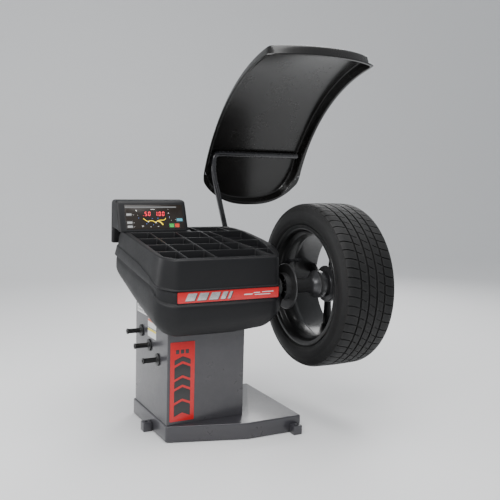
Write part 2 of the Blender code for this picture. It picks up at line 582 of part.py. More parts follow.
# ================================================================ belt drive
def belt_outline(extra):
    """The belt's path round both pulleys, as (y, z), at a distance from their faces."""
    driven = Vector((AXIS_Y, AXIS_Z))
    driving = Vector((MOTOR_Y, MOTOR_Z))
    apart = driving - driven
    distance = apart.length
    heading = math.atan2(apart.y, apart.x)
    lean = math.acos((DRIVEN_RADIUS - MOTOR_PULLEY_RADIUS) / distance)
    arc_points = 16
    outline = []
    for centre, radius, start, stop in (
            (driven, DRIVEN_RADIUS, heading + lean, heading + 2 * math.pi - lean),
            (driving, MOTOR_PULLEY_RADIUS, heading - lean, heading + lean)):
        outer = (radius + extra) / math.cos((stop - start) / (arc_points - 1) / 2)
        for angle in steps_between(start, stop, arc_points):
            outline.append((centre.x + outer * math.cos(angle), centre.y + outer * math.sin(angle)))
    return outline


def build_drive():
    """Motor, motor pulley and belt."""
    left = PULLEY_X + (PULLEY_WIDTH - BELT_WIDTH) / 2
    outside = belt_outline(SEAT_GAP + BELT_THICKNESS)
    belt = add("drive_belt", plate_x(outside, left, left + BELT_WIDTH), "rubber")
    boolean(belt, plate_x(belt_outline(SEAT_GAP), left - 0.01, left + BELT_WIDTH + 0.01))

    centre = (MOTOR_Y, MOTOR_Z)
    origin = (0.0, MOTOR_Y, MOTOR_Z)
    right = PULLEY_X - 0.006
    left = right - MOTOR_LENGTH
    bore = MOTOR_SHAFT_RADIUS + RUN_GAP
    body = [(left, 0.0), (left, MOTOR_RADIUS - 0.008), (left + 0.008, MOTOR_RADIUS),
            (right - 0.008, MOTOR_RADIUS),
            (right, MOTOR_RADIUS - 0.008), (right, bore), (right - 0.100, bore), (right - 0.100, 0.0)]
    motor = add("drive_motor", turned(body, TURNED_STEPS, centre), "copper_motor", smooth=True)
    boolean(motor, box((left + 0.020, MOTOR_Y - 0.045, MOTOR_Z - MOTOR_RADIUS - 0.010),
                       (right - 0.020, MOTOR_Y + 0.045, MOTOR_Z - MOTOR_RADIUS + 0.012)), "UNION")
    foot = MOTOR_Z - MOTOR_RADIUS - 0.010 - SEAT_GAP
    wall = COLUMN_WALL + 0.001
    shelf = add("motor_shelf", box((wall, MOTOR_Y - 0.060, foot - 0.005),
                                   (COLUMN_WIDTH - wall, MOTOR_Y + 0.060, foot)), "black_steel")
    boolean(shelf, boxes(*[((x, MOTOR_Y - 0.035, foot - 0.02), (x + 0.012, MOTOR_Y + 0.035, foot + 0.02))
                           for x in (0.240, 0.290)]))

    x, wide, radius = PULLEY_X, PULLEY_WIDTH, MOTOR_PULLEY_RADIUS
    pulley = [(right - 0.095, 0.0), (right - 0.095, MOTOR_SHAFT_RADIUS), (x, MOTOR_SHAFT_RADIUS),
              (x, radius + 0.004), (x + 0.003, radius + 0.004), (x + 0.004, radius),
              (x + wide - 0.004, radius),
              (x + wide - 0.003, radius + 0.004), (x + wide, radius + 0.004), (x + wide, 0.0)]
    add("motor_pulley", turned(pulley, TURNED_STEPS, centre), "ground_steel", origin, smooth=True)

    low = 0.300
    add("power_supply", box((0.060, 0.250, low), (0.200, 0.340, low + 0.090)), "copper_motor")
    shelf_top = low - SEAT_GAP
    add("supply_shelf", box((wall, 0.200, shelf_top - 0.004), (COLUMN_WIDTH - wall, 0.370, shelf_top)),
        "black_steel")


# ================================================================ plastic body
def tray_top(y):
    """Height of the sloping tray."""
    return TRAY_FRONT_Z + TRAY_RISE * (y - TRAY_FRONT_Y)


def seam(y):
    """Height of the joint between the two covers, rising to the back."""
    run = y + 0.100
    return 0.650 + 0.155 * run - 0.010 * run * run


def tray_edge():
    """Top edge of the upper cover from above, counter-clockwise from the front left."""
    return [(-0.002, -0.088), (0.230, -0.088), (0.462, -0.088), (0.520, 0.020), (0.548, 0.110),
            (0.555, 0.210), (0.550, 0.365), (0.522, 0.462), (0.470, 0.492), (-0.030, 0.492),
            (-0.056, 0.462), (-0.058, 0.200), (-0.056, 0.020), (-0.050, -0.036)]


def cover_edge():
    """Lower edge of the upper cover from above, point for point with tray_edge."""
    return [(-0.008, -0.096), (0.230, -0.096), (0.470, -0.096), (0.528, 0.014), (0.555, 0.105),
            (0.562, 0.210), (0.560, 0.370), (0.540, 0.490), (0.490, 0.516), (-0.048, 0.516),
            (-0.077, 0.490), (-0.079, 0.200), (-0.077, 0.006), (-0.069, -0.042)]


def upper_rings(distance):
    """Rings of the upper cover, moved in by a distance."""
    low, high = inset(cover_edge(), distance), inset(tray_edge(), distance)
    middle = [(0.35 * a[0] + 0.65 * b[0], 0.35 * a[1] + 0.65 * b[1]) for a, b in zip(low, high)]
    return [[(x, y, seam(y)) for x, y in low],
            [(x, y, 0.30 * seam(y) + 0.70 * tray_top(y)) for x, y in middle],
            [(x, y, tray_top(y)) for x, y in high]]


def pocket_outlines():
    """Weight pockets from above, as lists of (x, y), counter-clockwise."""
    half = RIB / 2
    rows = [TRAY_ROW_FIRST + TRAY_PITCH * row for row in range(5)]
    left = -0.034
    columns = [left, *TRAY_LONG_RIBS]

    def slanted(y):
        """The slanting long rib that closes the fourth column."""
        return 0.452 - 0.225 * (y - rows[0])

    outlines = []
    for row in (1, 2, 3):
        low, high = rows[row] + half, rows[row + 1] - half
        for number, start in enumerate(columns):
            begin = start + (half if number else 0.0)
            if number < 3:
                end = columns[number + 1] - half
                outlines.append([(begin, low), (end, low), (end, high), (begin, high)])
            else:
                outlines.append([(begin, low), (slanted(low) - half, low), (slanted(high) - half, high),
                                 (begin, high)])
    low, high = rows[0], rows[1] - half
    outlines.append([(0.006, low), (columns[1] - half, low), (columns[1] - half, high), (left, high),
                     (left, low + 0.040)])
    outlines.append([(columns[1] + half, low), (columns[2] - half, low), (columns[2] - half, high),
                     (columns[1] + half, high)])
    outlines.append([(columns[2] + half, low), (slanted(low) - half, low), (slanted(high) - half, high),
                     (columns[2] + half, high)])
    outlines.append([(slanted(low) + half, low + 0.004), (0.468, low + 0.022), (0.488, high),
                     (slanted(high) + half, high)])
    for low, high, near, far in ((rows[1] + half, rows[2] + 0.040, 0.492, 0.522),
                                 (rows[2] + 0.040 + RIB, rows[4] - half, 0.524, 0.526)):
        outlines.append([(slanted(low) + half, low), (near, low), (far, high), (slanted(high) + half, high)])
    low, high = rows[4] + half, 0.470
    start = CONSOLE_RIGHT + 0.014
    outlines.append([(start, low), (slanted(low) - 0.040 - half, low), (slanted(high) - 0.040 - half, high),
                     (start, high)])
    outlines.append([(slanted(low) - 0.040 + half, low), (0.455, low), (0.435, high),
                     (slanted(high) - 0.040 + half, high)])
    outlines.append([(0.455 + RIB, low), (0.524, low), (0.500, high - 0.012), (0.435 + RIB, high)])
    return outlines


def build_upper_cover():
    """Upper cover with the sloping weight tray moulded into its top."""
    cover = add("hood_upper", loft(upper_rings(0.0)), "black_abs")
    round_edges(cover, 0.007, 2, 22.0)
    inner = upper_rings(HOOD_WALL)
    top = [(x, y, z - TRAY_SLAB) for x, y, z in inner[2]]
    middle = [(x, y, z - TRAY_SLAB * 0.8) for x, y, z in inner[1]]
    below = [(x, y, z - 0.030) for x, y, z in inner[0]]
    boolean(cover, loft([below, inner[0], middle, top]))
    pockets = bmesh.new()
    for outline in pocket_outlines():
        rings = [[(x, y, tray_top(y) - POCKET_DEPTH) for x, y in inset(outline, 0.003)],
                 [(x, y, tray_top(y) + 0.010) for x, y in outline]]
        join(pockets, loft(rings))
    boolean(cover, pockets)
    boolean(cover, spindle_opening())
    boolean(cover, gauge_opening())
    gap = SEAM_GAP
    boolean(cover, box((POST_STUB_LEFT - gap, 0.470, POST_STUB_LOW - gap),
                       (POST_STUB_RIGHT + gap, 0.530, POST_STUB_HIGH + gap)))


def belly_rings(distance):
    """Rings of the lower cover from its top edge down, moved in by a distance."""
    edge = cover_edge()
    top = inset(edge, 0.009)
    bulge = [(-0.010, -0.098), (0.230, -0.102), (0.462, -0.098), (0.540, 0.000), (0.556, 0.100),
             (0.562, 0.210), (0.560, 0.370), (0.540, 0.480), (0.480, 0.512), (-0.040, 0.512),
             (-0.074, 0.480), (-0.080, 0.200),
             (-0.078, 0.000), (-0.068, -0.044)]
    floor = [(0.000, -0.072), (0.220, -0.074), (0.420, -0.070), (0.505, 0.020), (0.515, 0.110),
             (0.515, 0.210), (0.505, 0.330), (0.480, 0.400), (0.430, 0.425), (0.000, 0.425),
             (-0.030, 0.400), (-0.044, 0.200), (-0.042, 0.020), (-0.034, -0.036)]
    step = [(0.0, 1.0)] * 3 + [(0.2, 0.7)] + [(0.0, 0.12)] * 9 + [(0.0, 0.9)]
    rings = [[(x, y, seam(y) - SEAM_GAP) for x, y in inset(top, distance)]]
    band = inset(top, distance)
    shelf = inset(bulge, distance)
    low = inset(floor, distance)
    rings.append([(x, y, seam(y) - SEAM_GAP - 0.050 * drop) for (x, y), (_, drop) in zip(band, step)])
    rings.append([(x, y, seam(y) - SEAM_GAP - 0.014 - 0.046 * drop)
                  for (x, y), (_, drop) in zip(shelf, step)])
    rings.append([(x, y, belly_low(x, y) + 0.045) for x, y in shelf])
    rings.append([(x, y, belly_low(x, y) + distance) for x, y in low])
    return rings


def belly_low(x, y):
    """Height of the lower cover's underside, rising to the back and to the right."""
    right = max(0.0, x - 0.300)
    return 0.462 + 0.29 * max(0.0, y + 0.070) + 0.12 * right


def build_lower_cover():
    """Lower cover with the band for the front strip and the opening for the column."""
    cover = add("hood_lower", loft(belly_rings(0.0)), "black_abs")
    inner = belly_rings(HOOD_WALL)
    above = [(x, y, z + 0.030) for x, y, z in inner[0]]
    boolean(cover, loft([above, *inner]))
    gap = 0.002
    boolean(cover, box((-gap, -gap, 0.400), (COLUMN_WIDTH + gap, COLUMN_DEPTH + 0.006, 0.700)))
    boolean(cover, spindle_opening())
    boolean(cover, gauge_opening())


def spindle_opening():
    """Round hole for the spindle in the covers' right wall."""
    return rod_x(0.480, 0.620, SPIGOT_RADIUS + RUN_GAP, (AXIS_Y, AXIS_Z), TURNED_STEPS)


def gauge_opening():
    """Clearance round the gauge rod in the covers' right wall."""
    return rod_x(0.480, 0.620, GAUGE_RADIUS + 0.004, (GAUGE_Y, GAUGE_Z))


def build_trim():
    """Blank front strip and blank column badge."""
    back = BAND_Y - SEAT_GAP
    strip = box((STRIP_LEFT, back - STRIP_THICKNESS, STRIP_LOW), (STRIP_RIGHT, back, STRIP_HIGH))
    add("front_strip", strip, "red_film")
    badge = box((BADGE_LEFT, -SEAT_GAP - BADGE_THICKNESS, BADGE_LOW), (BADGE_RIGHT, -SEAT_GAP, BADGE_HIGH))
    add("column_badge", badge, "red_film")


def build_pegs():
    """Three pegs for the centring cones on the left face of the column."""
    for name, centre in zip(("cone_peg_upper", "cone_peg_middle", "cone_peg_lower"), PEG_PLACES):
        root = -SEAT_GAP
        flange = root - PEG_FLANGE
        end = -PEG_LENGTH
        profile = [(root, 0.0), (root, PEG_FLANGE_RADIUS), (flange + 0.002, PEG_FLANGE_RADIUS),
                   (flange, PEG_FLANGE_RADIUS - 0.002), (flange, PEG_RADIUS), (end + PEG_LIP, PEG_RADIUS),
                   (end + PEG_LIP - 0.002, PEG_LIP_RADIUS), (end, PEG_LIP_RADIUS), (end, PEG_BORE),
                   (end + 0.020, PEG_BORE), (end + 0.020, 0.0)]
        add(name, turned(profile, SMALL_STEPS, centre), "black_abs", (0.0, *centre), smooth=True)


# ================================================================ console
def console_profile():
    """Side outline of the console as (y, z), counter-clockwise seen from +X."""
    foot = (CONSOLE_FOOT_Y, tray_top(CONSOLE_FOOT_Y) + SEAT_GAP)
    head = (foot[0] + CONSOLE_HEIGHT * math.sin(CONSOLE_TILT),
            foot[1] + CONSOLE_HEIGHT * math.cos(CONSOLE_TILT))
    ledge_y = 0.4945
    return [foot, (ledge_y, tray_top(ledge_y) + SEAT_GAP), (0.5110, 0.786), (CONSOLE_BACK_Y, 0.786),
            (CONSOLE_BACK_Y - 0.003, head[1] - 0.012), (CONSOLE_BACK_Y - 0.018, head[1] + 0.003), head]


def build_console():
    """Console housing on the tray, with its display panel and keys."""
    profile = console_profile()
    housing = add("console_housing", plate_x(profile, CONSOLE_LEFT, CONSOLE_RIGHT), "black_abs")
    round_edges(housing, 0.006, 2)
    foot, head = Vector(profile[0]), Vector(profile[-1])
    wall = CONSOLE_WALL
    cavity = [(foot.x + wall + 0.010, foot.y + 0.012), (0.488, foot.y + 0.024),
              (0.510, foot.y + 0.024), (CONSOLE_BACK_Y - 0.003 - wall, head.y - 0.016),
              (CONSOLE_BACK_Y - 0.022, head.y - 0.004), (head.x + wall, head.y - 0.006)]
    boolean(housing, plate_x(cavity, CONSOLE_LEFT + wall, CONSOLE_RIGHT - wall))

    face = place_empty("console_face", (0.0, foot.x, foot.y), (-CONSOLE_TILT, 0.0, 0.0), FRAME["machine"])
    low, high = DISPLAY_FROM_FOOT, DISPLAY_FROM_FOOT + DISPLAY_HEIGHT
    left, right = DISPLAY_LEFT, DISPLAY_LEFT + DISPLAY_WIDTH
    gap = KEY_GAP
    boolean(housing, box((left - gap, -0.020, low - gap), (right + gap, DISPLAY_THICKNESS, high + gap)),
            parent=face)
    boolean(housing, box((left + 0.004, -0.020, low + 0.004), (right - 0.004, 0.040, high - 0.004)),
            parent=face)
    panel = add("display_panel", box((left, 0.0, low), (right, DISPLAY_THICKNESS - gap, high)), "gloss_black",
                parent=face)
    windows = []
    for name, (centre, up, width, height, colour) in key_places().items():
        z = low + up
        windows.append(((centre - width / 2 - gap, -0.02, z - height / 2 - gap),
                        (centre + width / 2 + gap, 0.02, z + height / 2 + gap)))
        key = box((centre - width / 2, -KEY_PROUD, z - height / 2),
                  (centre + width / 2, KEY_DEPTH - KEY_PROUD, z + height / 2))
        add(name, key, colour, (centre, 0.0, z), face)
    boolean(panel, boxes(*windows), parent=face)
    board_front = KEY_DEPTH - KEY_PROUD + KEY_TRAVEL + SEAT_GAP
    board = box((left + 0.008, board_front, low + 0.008), (right - 0.008, board_front + 0.0020, high - 0.008))
    add("display_board", board, "board_green", parent=face)


def key_places():
    """Keys as centre x, height of the centre above the panel's lower edge, width, height and finish."""
    grey = DISPLAY_LEFT + KEY_COLUMN_INSET
    right = DISPLAY_LEFT + DISPLAY_WIDTH
    return {
        "menu_key_upper": (grey, DISPLAY_HEIGHT - 0.046, 0.024, 0.010, "key_grey"),
        "menu_key_middle": (grey, 0.032, 0.024, 0.010, "key_grey"),
        "menu_key_lower": (grey, 0.013, 0.024, 0.010, "key_grey"),
        "start_key": (right - 0.062, 0.016, 0.021, 0.017, "key_green"),
        "stop_key": (right - 0.035, 0.016, 0.021, 0.017, "key_red"),
        "function_key": (right - 0.020, 0.043, 0.028, 0.013, "key_cyan"),
    }


# ================================================================ wheel guard
def guard_point(across, along, depth):
    """A point of the guard: across and along run from -1 to 1 and 0 to 1, depth is outwards."""
    fall = abs(across) ** 2.6
    low = GUARD_LOW_ANGLE + (GUARD_SIDE_ANGLE - GUARD_LOW_ANGLE) * fall
    high = GUARD_TOP_ANGLE + GUARD_TOP_BOW * (1.0 - abs(across) ** 2.2)
    angle = low + (high - low) * along
    radius = GUARD_ARC_RADIUS + depth
    middle, half = (GUARD_LEFT + GUARD_RIGHT) / 2, (GUARD_RIGHT - GUARD_LEFT) / 2
    return (middle + half * across, GUARD_ARC_Y + radius * math.cos(angle),
            GUARD_ARC_Z + radius * math.sin(angle))


def guard_grid(columns, rows):
    """Edge-graded positions across and along the guard, and how far each step lies outwards."""
    width = GUARD_RIGHT - GUARD_LEFT
    height = GUARD_ARC_RADIUS * (GUARD_TOP_ANGLE - GUARD_SIDE_ANGLE)
    lip, wall = GUARD_LIP, GUARD_LIP + GUARD_SLOPE
    across = [-1.0, -1.0 + 2 * lip / width]
    across += steps_between(-1.0 + 2 * wall / width, 1.0 - 2 * wall / width, columns)
    across += [1.0 - 2 * lip / width, 1.0]
    along = [0.0, lip / height] + steps_between(wall / height, 1.0 - wall / height, rows)
    along += [1.0 - lip / height, 1.0]
    return across, along


def build_guard():
    """Dished guard with a turned lip, on its bent tube."""
    across, along = guard_grid(GUARD_COLUMNS, GUARD_ROWS)
    bm = bmesh.new()
    sheets = []
    for offset in (0.0, GUARD_SKIN):
        sheet = []
        for row, v in enumerate(along):
            line = []
            for column, u in enumerate(across):
                inside = 2 <= row < len(along) - 2 and 2 <= column < len(across) - 2
                depth = GUARD_DEPTH if inside else 0.0
                line.append(bm.verts.new(guard_point(u, v, depth + offset)))
            sheet.append(line)
        sheets.append(sheet)
    rows, columns = len(along), len(across)
    for number, sheet in enumerate(sheets):
        for row in range(rows - 1):
            for column in range(columns - 1):
                quad = (sheet[row][column], sheet[row][column + 1], sheet[row + 1][column + 1],
                        sheet[row + 1][column])
                bm.faces.new(quad if number else tuple(reversed(quad)))
    border = [(0, c) for c in range(columns)] + [(r, columns - 1) for r in range(1, rows)]
    border += [(rows - 1, c) for c in range(columns - 2, -1, -1)] + [(r, 0) for r in range(rows - 2, 0, -1)]
    inner, outer = sheets
    for index, (row, column) in enumerate(border):
        follow_row, follow_column = border[(index + 1) % len(border)]
        bm.faces.new((inner[row][column], inner[follow_row][follow_column], outer[follow_row][follow_column],
                      outer[row][column]))
    pivot = (0.0, PIVOT_Y, PIVOT_Z)
    add("guard_shell", bm, "gloss_black", pivot, smooth=True)
    add("guard_arm", arm_tube(), "gloss_black", pivot, smooth=True)
    shaft = rod_x(PIVOT_LEFT, PIVOT_RIGHT, PIVOT_RADIUS, (PIVOT_Y, PIVOT_Z))
    add("guard_pivot_shaft", shaft, "ground_steel", pivot, smooth=True)


def arm_path():
    """Centre line of the guard's tube, with rounded bends."""
    facet = (GUARD_TOP_ANGLE + GUARD_TOP_BOW - GUARD_LOW_ANGLE) / GUARD_ROWS
    reach = (GUARD_ARC_RADIUS + GUARD_DEPTH) * math.cos(facet / 2) - ARM_RADIUS - 2 * SEAT_GAP
    bar_y = GUARD_ARC_Y + math.sqrt(reach ** 2 - (ARM_BAR_Z - GUARD_ARC_Z) ** 2)
    corners = [Vector((ARM_FOOT_X, PIVOT_Y, PIVOT_Z + PIVOT_RADIUS + 0.004)),
               Vector((ARM_SIDE_X, bar_y + 0.002, ARM_KNEE_Z)), Vector((ARM_SIDE_X, bar_y, ARM_BAR_Z)),
               Vector((ARM_END_X, bar_y, ARM_BAR_Z))]
    path = [corners[0]]
    for before, corner, after, radius in ((0, 1, 2, 0.030), (1, 2, 3, 0.034)):
        start = corners[corner] + (corners[before] - corners[corner]).normalized() * radius
        stop = corners[corner] + (corners[after] - corners[corner]).normalized() * radius
        for t in steps_between(0.0, 1.0, 7):
            path.append(start * (1 - t) ** 2 + corners[corner] * 2 * t * (1 - t) + stop * t ** 2)
    path.append(corners[-1])
    return path


def arm_tube():
    """Round bar swept along the arm's path, with its boss on the pivot shaft."""
    path = arm_path()
    sides = 16
    side = Vector((0.0, 1.0, 0.0))
    rings = []
    for index, point in enumerate(path):
        ahead = path[min(index + 1, len(path) - 1)] - path[max(index - 1, 0)]
        tangent = ahead.normalized()
        first = (side - tangent * side.dot(tangent)).normalized()
        second = tangent.cross(first)
        rings.append([point + (first * math.cos(a) + second * math.sin(a)) * ARM_RADIUS
                      for a in (2 * math.pi * k / sides for k in range(sides))])
    return loft(rings)


def build_guard_mount():
    """Boss of the arm, pivot block, post and return spring."""
    arm = bpy.data.objects["guard_arm"]
    half = ARM_BOSS_LENGTH / 2
    centre = (PIVOT_Y, PIVOT_Z)
    boss = rod_x(ARM_FOOT_X - half, ARM_FOOT_X + half, PIVOT_RADIUS + ARM_BOSS_WALL, centre)
    boolean(arm, boss, "UNION")
    boolean(arm, rod_x(ARM_FOOT_X - 0.05, ARM_FOOT_X + 0.05, PIVOT_RADIUS + SEAT_GAP, centre))

    coil = PIVOT_RADIUS + SPRING_GAP + SPRING_WIRE
    room = coil + SPRING_ROOM
    block = box((PIVOT_BLOCK_LEFT, PIVOT_BLOCK_FRONT, PIVOT_Z - room - 0.013),
                (PIVOT_BLOCK_RIGHT, PIVOT_Y + PIVOT_RADIUS + 0.006, PIVOT_Z + PIVOT_RADIUS + 0.004))
    bracket = add("guard_pivot_block", block, "black_steel")
    round_edges(bracket, 0.003, 2)
    middle = (PIVOT_BLOCK_LEFT + PIVOT_BLOCK_RIGHT) / 2
    half = SPRING_LENGTH / 2 + 0.004
    boolean(bracket, box((middle - half, PIVOT_Y - room, PIVOT_Z - room),
                         (middle + half, PIVOT_Y + 0.100, PIVOT_Z + 0.100)))
    boolean(bracket, rod_x(PIVOT_LEFT - 0.05, PIVOT_RIGHT + 0.05, PIVOT_RADIUS + RUN_GAP, centre))

    steps, sides = 14 * SPRING_TURNS, 6
    rings = []
    along = Vector((1.0, 0.0, 0.0))
    for index in range(steps + 1):
        turn = 2 * math.pi * SPRING_TURNS * index / steps
        outward = Vector((0.0, math.cos(turn), math.sin(turn)))
        start = Vector((middle - SPRING_LENGTH / 2 + SPRING_LENGTH * index / steps, PIVOT_Y, PIVOT_Z))
        rings.append([start + outward * coil + (outward * math.cos(a) + along * math.sin(a)) * SPRING_WIRE
                      for a in (2 * math.pi * k / sides for k in range(sides))])
    add("guard_spring", loft(rings), "ground_steel", smooth=True)

    left = COLUMN_WIDTH - COLUMN_WALL - 0.0065
    outline = [(0.315, 0.500), (0.388, 0.500), (0.388, 0.668), (0.455, 0.730), (0.486, 0.770), (0.486, 0.804),
               (0.440, 0.796), (0.315, 0.650)]
    post = add("guard_post", plate_x(outline, left, left + 0.006), "black_steel")
    low, high = POST_STUB_LOW, POST_STUB_HIGH
    boolean(post, box((left + 0.002, 0.4800, low - 0.010), (POST_STUB_RIGHT, 0.4862, high)), "UNION")
    stub = box((POST_STUB_LEFT, 0.4840, low), (POST_STUB_RIGHT, PIVOT_BLOCK_FRONT - SEAT_GAP, high))
    boolean(post, stub, "UNION")


# ================================================================ distance gauge
def build_gauge():
    """Sliding gauge rod in its guide, and the arm that swings on its end."""
    centre = (GAUGE_Y, GAUGE_Z)
    rod = [(GAUGE_LEFT, 0.0), (GAUGE_LEFT, GAUGE_RADIUS), (GAUGE_RIGHT - 0.020, GAUGE_RADIUS),
           (GAUGE_RIGHT - 0.020, 0.0045), (GAUGE_RIGHT, 0.0045), (GAUGE_RIGHT, 0.0)]
    add("gauge_rod", turned(rod, SMALL_STEPS, centre), "ground_steel", (0.0, *centre), smooth=True)

    left = COLUMN_WIDTH - COLUMN_WALL - 0.0065
    outline = [(GAUGE_Y - 0.030, 0.560), (GAUGE_Y + 0.030, 0.560), (GAUGE_Y + 0.018, GAUGE_Z + 0.022),
               (GAUGE_Y - 0.018, GAUGE_Z + 0.022)]
    guide = add("gauge_guide", plate_x(outline, left, left + 0.006), "black_steel")
    boolean(guide, rod_x(left + 0.001, GUIDE_RIGHT, GUIDE_RADIUS, centre), "UNION")
    boolean(guide, rod_x(left - 0.010, GUIDE_RIGHT + 0.010, GAUGE_RADIUS + RUN_GAP, centre))

    tip = Vector((GAUGE_TIP_Y, GAUGE_TIP_Z))
    root = Vector(centre)
    way = (tip - root).normalized()
    across = Vector((-way.y, way.x))
    outline = [tuple(root + across * 0.010 - way * 0.008), tuple(root - across * 0.010 - way * 0.008),
               tuple(root - across * 0.012), tuple(tip - across * 0.008),
               tuple(tip - across * 0.005 + way * 0.007), tuple(tip + across * 0.005 + way * 0.007),
               tuple(tip + across * 0.008), tuple(root + across * 0.012)]
    left, right = GAUGE_RIGHT - 0.0175, GAUGE_RIGHT - 0.0075
    arm = add("gauge_arm", plate_x(outline, left, right), "black_abs", (0.0, *centre))
    finger = [(left + 0.002, 0.0), (left + 0.002, 0.0065), (GAUGE_TIP_X - 0.022, 0.0065),
              (GAUGE_TIP_X - 0.020, 0.0090), (GAUGE_TIP_X - 0.012, 0.0090), (GAUGE_TIP_X - 0.010, 0.0065),
              (GAUGE_TIP_X - 0.002, 0.0065), (GAUGE_TIP_X, 0.0045), (GAUGE_TIP_X, 0.0)]
    boolean(arm, turned(finger, SMALL_STEPS, (GAUGE_TIP_Y, GAUGE_TIP_Z)), "UNION")
    boolean(arm, rod_x(left - 0.01, right + 0.01, 0.0045 + RUN_GAP, centre))


def machine_centre():
    """Middle of the machine's footprint: console to guard lip across, tyre to guard back deep."""
    across, along = guard_grid(GUARD_COLUMNS, GUARD_ROWS)
    back = max(guard_point(u, v, GUARD_DEPTH + GUARD_SKIN)[1] for u in across[2:-2] for v in along[2:-2])
    return (CONSOLE_LEFT + GUARD_RIGHT) / 2, (AXIS_Y - TYRE_RADIUS + back) / 2


def main():
    """Clear the file and build the machine."""
    for old in list(bpy.data.objects):
        bpy.data.objects.remove(old, do_unlink=True)
    make_finishes()
    middle_x, middle_y = machine_centre()
    FRAME["machine"] = place_empty("machine_frame", (-middle_x, -middle_y, 0.0))
    build_base()
    build_column()
    build_mains()
    build_spindle_bed()
    build_rotor()
    build_wheel()
    build_quick_nut()
    build_drive()
    build_upper_cover()
    build_lower_cover()
    build_trim()
    build_pegs()
    build_console()
    build_guard()
    build_guard_mount()
    build_gauge()


main()
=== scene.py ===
"""Detailed looks of a free-standing wheel balancer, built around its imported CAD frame.

Every size below is in the machine's own coordinates, in metres: x = 0 is the left face of the column,
y = 0 its front face, z = 0 the floor, and the spindle runs along +X. ``Workshop`` moves finished pieces
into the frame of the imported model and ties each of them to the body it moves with.
"""

from __future__ import annotations

import json
import logging
import math
from dataclasses import dataclass
from enum import Enum
from typing import Iterable, Sequence

import bmesh
import bpy
from mathutils import Matrix, Vector
from mathutils.geometry import delaunay_2d_cdt


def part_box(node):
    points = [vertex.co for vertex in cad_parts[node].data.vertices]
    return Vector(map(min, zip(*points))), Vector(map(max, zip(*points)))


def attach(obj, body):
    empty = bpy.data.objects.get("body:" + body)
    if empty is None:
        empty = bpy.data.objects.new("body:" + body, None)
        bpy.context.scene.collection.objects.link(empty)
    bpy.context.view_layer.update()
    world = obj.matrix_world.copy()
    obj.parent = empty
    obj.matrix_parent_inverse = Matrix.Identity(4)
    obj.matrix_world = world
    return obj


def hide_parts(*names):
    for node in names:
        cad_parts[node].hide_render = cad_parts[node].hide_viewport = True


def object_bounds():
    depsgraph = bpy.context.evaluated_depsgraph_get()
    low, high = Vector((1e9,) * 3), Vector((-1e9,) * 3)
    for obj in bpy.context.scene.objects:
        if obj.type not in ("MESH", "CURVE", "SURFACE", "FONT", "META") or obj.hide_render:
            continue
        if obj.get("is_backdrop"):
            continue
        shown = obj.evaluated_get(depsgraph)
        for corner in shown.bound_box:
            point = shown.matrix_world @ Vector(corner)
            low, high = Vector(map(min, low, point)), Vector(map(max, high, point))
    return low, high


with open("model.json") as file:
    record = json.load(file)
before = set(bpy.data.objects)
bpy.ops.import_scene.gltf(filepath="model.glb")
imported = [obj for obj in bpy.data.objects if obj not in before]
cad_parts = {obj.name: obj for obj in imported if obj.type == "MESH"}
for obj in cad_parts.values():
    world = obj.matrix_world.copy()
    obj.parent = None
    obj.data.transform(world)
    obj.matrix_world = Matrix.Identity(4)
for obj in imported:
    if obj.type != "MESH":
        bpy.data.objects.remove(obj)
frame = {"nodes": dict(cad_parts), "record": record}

LOG = logging.getLogger("balancer")

Pair = tuple[float, float]
Triple = tuple[float, float, float]
Row = tuple[float, ...]
Band = tuple[float, float, float, float]
Socket = tuple[str, str, object]
Blank = tuple[bpy.types.NodeTree, "Tree", bpy.types.Node, bpy.types.Node]

# Sizes that several pieces share
AXIS = (0.018, 0.628)
COLUMN_WIDTH, COLUMN_DEPTH = 0.355, 0.395
BASE_HEIGHT = 0.072
TYRE_LEFT, TYRE_RIGHT, TREAD_RADIUS = 0.635, 0.9, 0.3688
RIM_LEFT, RIM_RIGHT, RIM_LIP_RADIUS = 0.644, 0.891, 0.2715
HUB_FACE = 0.8
PRINT_ROOT = 0.00005
DUST_COLOUR = (0.16, 0.155, 0.15)


# ==== finishes
class Surface(Enum):
    """How a surface was made, which decides its fine texture."""

    PAINT = "paint"
    MOULDED = "moulded"
    GLOSS = "gloss"
    RUBBER = "rubber"
    TURNED = "turned"
    CAST = "cast"
    FILM = "film"
    BOARD = "board"
    LIT = "lit"


@dataclass(frozen=True)
class Finish:
    """One finish of the machine.

    Attributes:
        name: Name of the material.
        surface: How the surface was made.
        colour: Main linear colour.
        shade: Linear colour that the main one drifts towards.
        roughness: Mean roughness.
        metallic: 0 for plastics and paint, 1 for bare metal.
        coat: Weight of a clear coat.
        specular: Specular level.
        grain: Features of the fine texture per metre.
        depth: Height of the fine texture, in metres.
        worn: Linear colour of rubbed edges.
        wear: How far edges are rubbed, 0 to 1.
        dust: How much dust lies on upward faces, 0 to 1.
        glow: Strength of light given off.
    """

    name: str
    surface: Surface
    colour: Triple
    shade: Triple
    roughness: float
    metallic: float = 0.0
    coat: float = 0.0
    specular: float = 0.5
    grain: float = 900.0
    depth: float = 0.0001
    worn: Triple = (0.3, 0.3, 0.3)
    wear: float = 0.0
    dust: float = 0.0
    glow: float = 0.0


def grey(value: float, blue: float = 0.0) -> Triple:
    """A grey with a little blue in it.

    Args:
        value: Linear brightness.
        blue: Extra blue, added to the third channel.

    Returns:
        The linear colour.
    """
    return (value, value, value + blue)


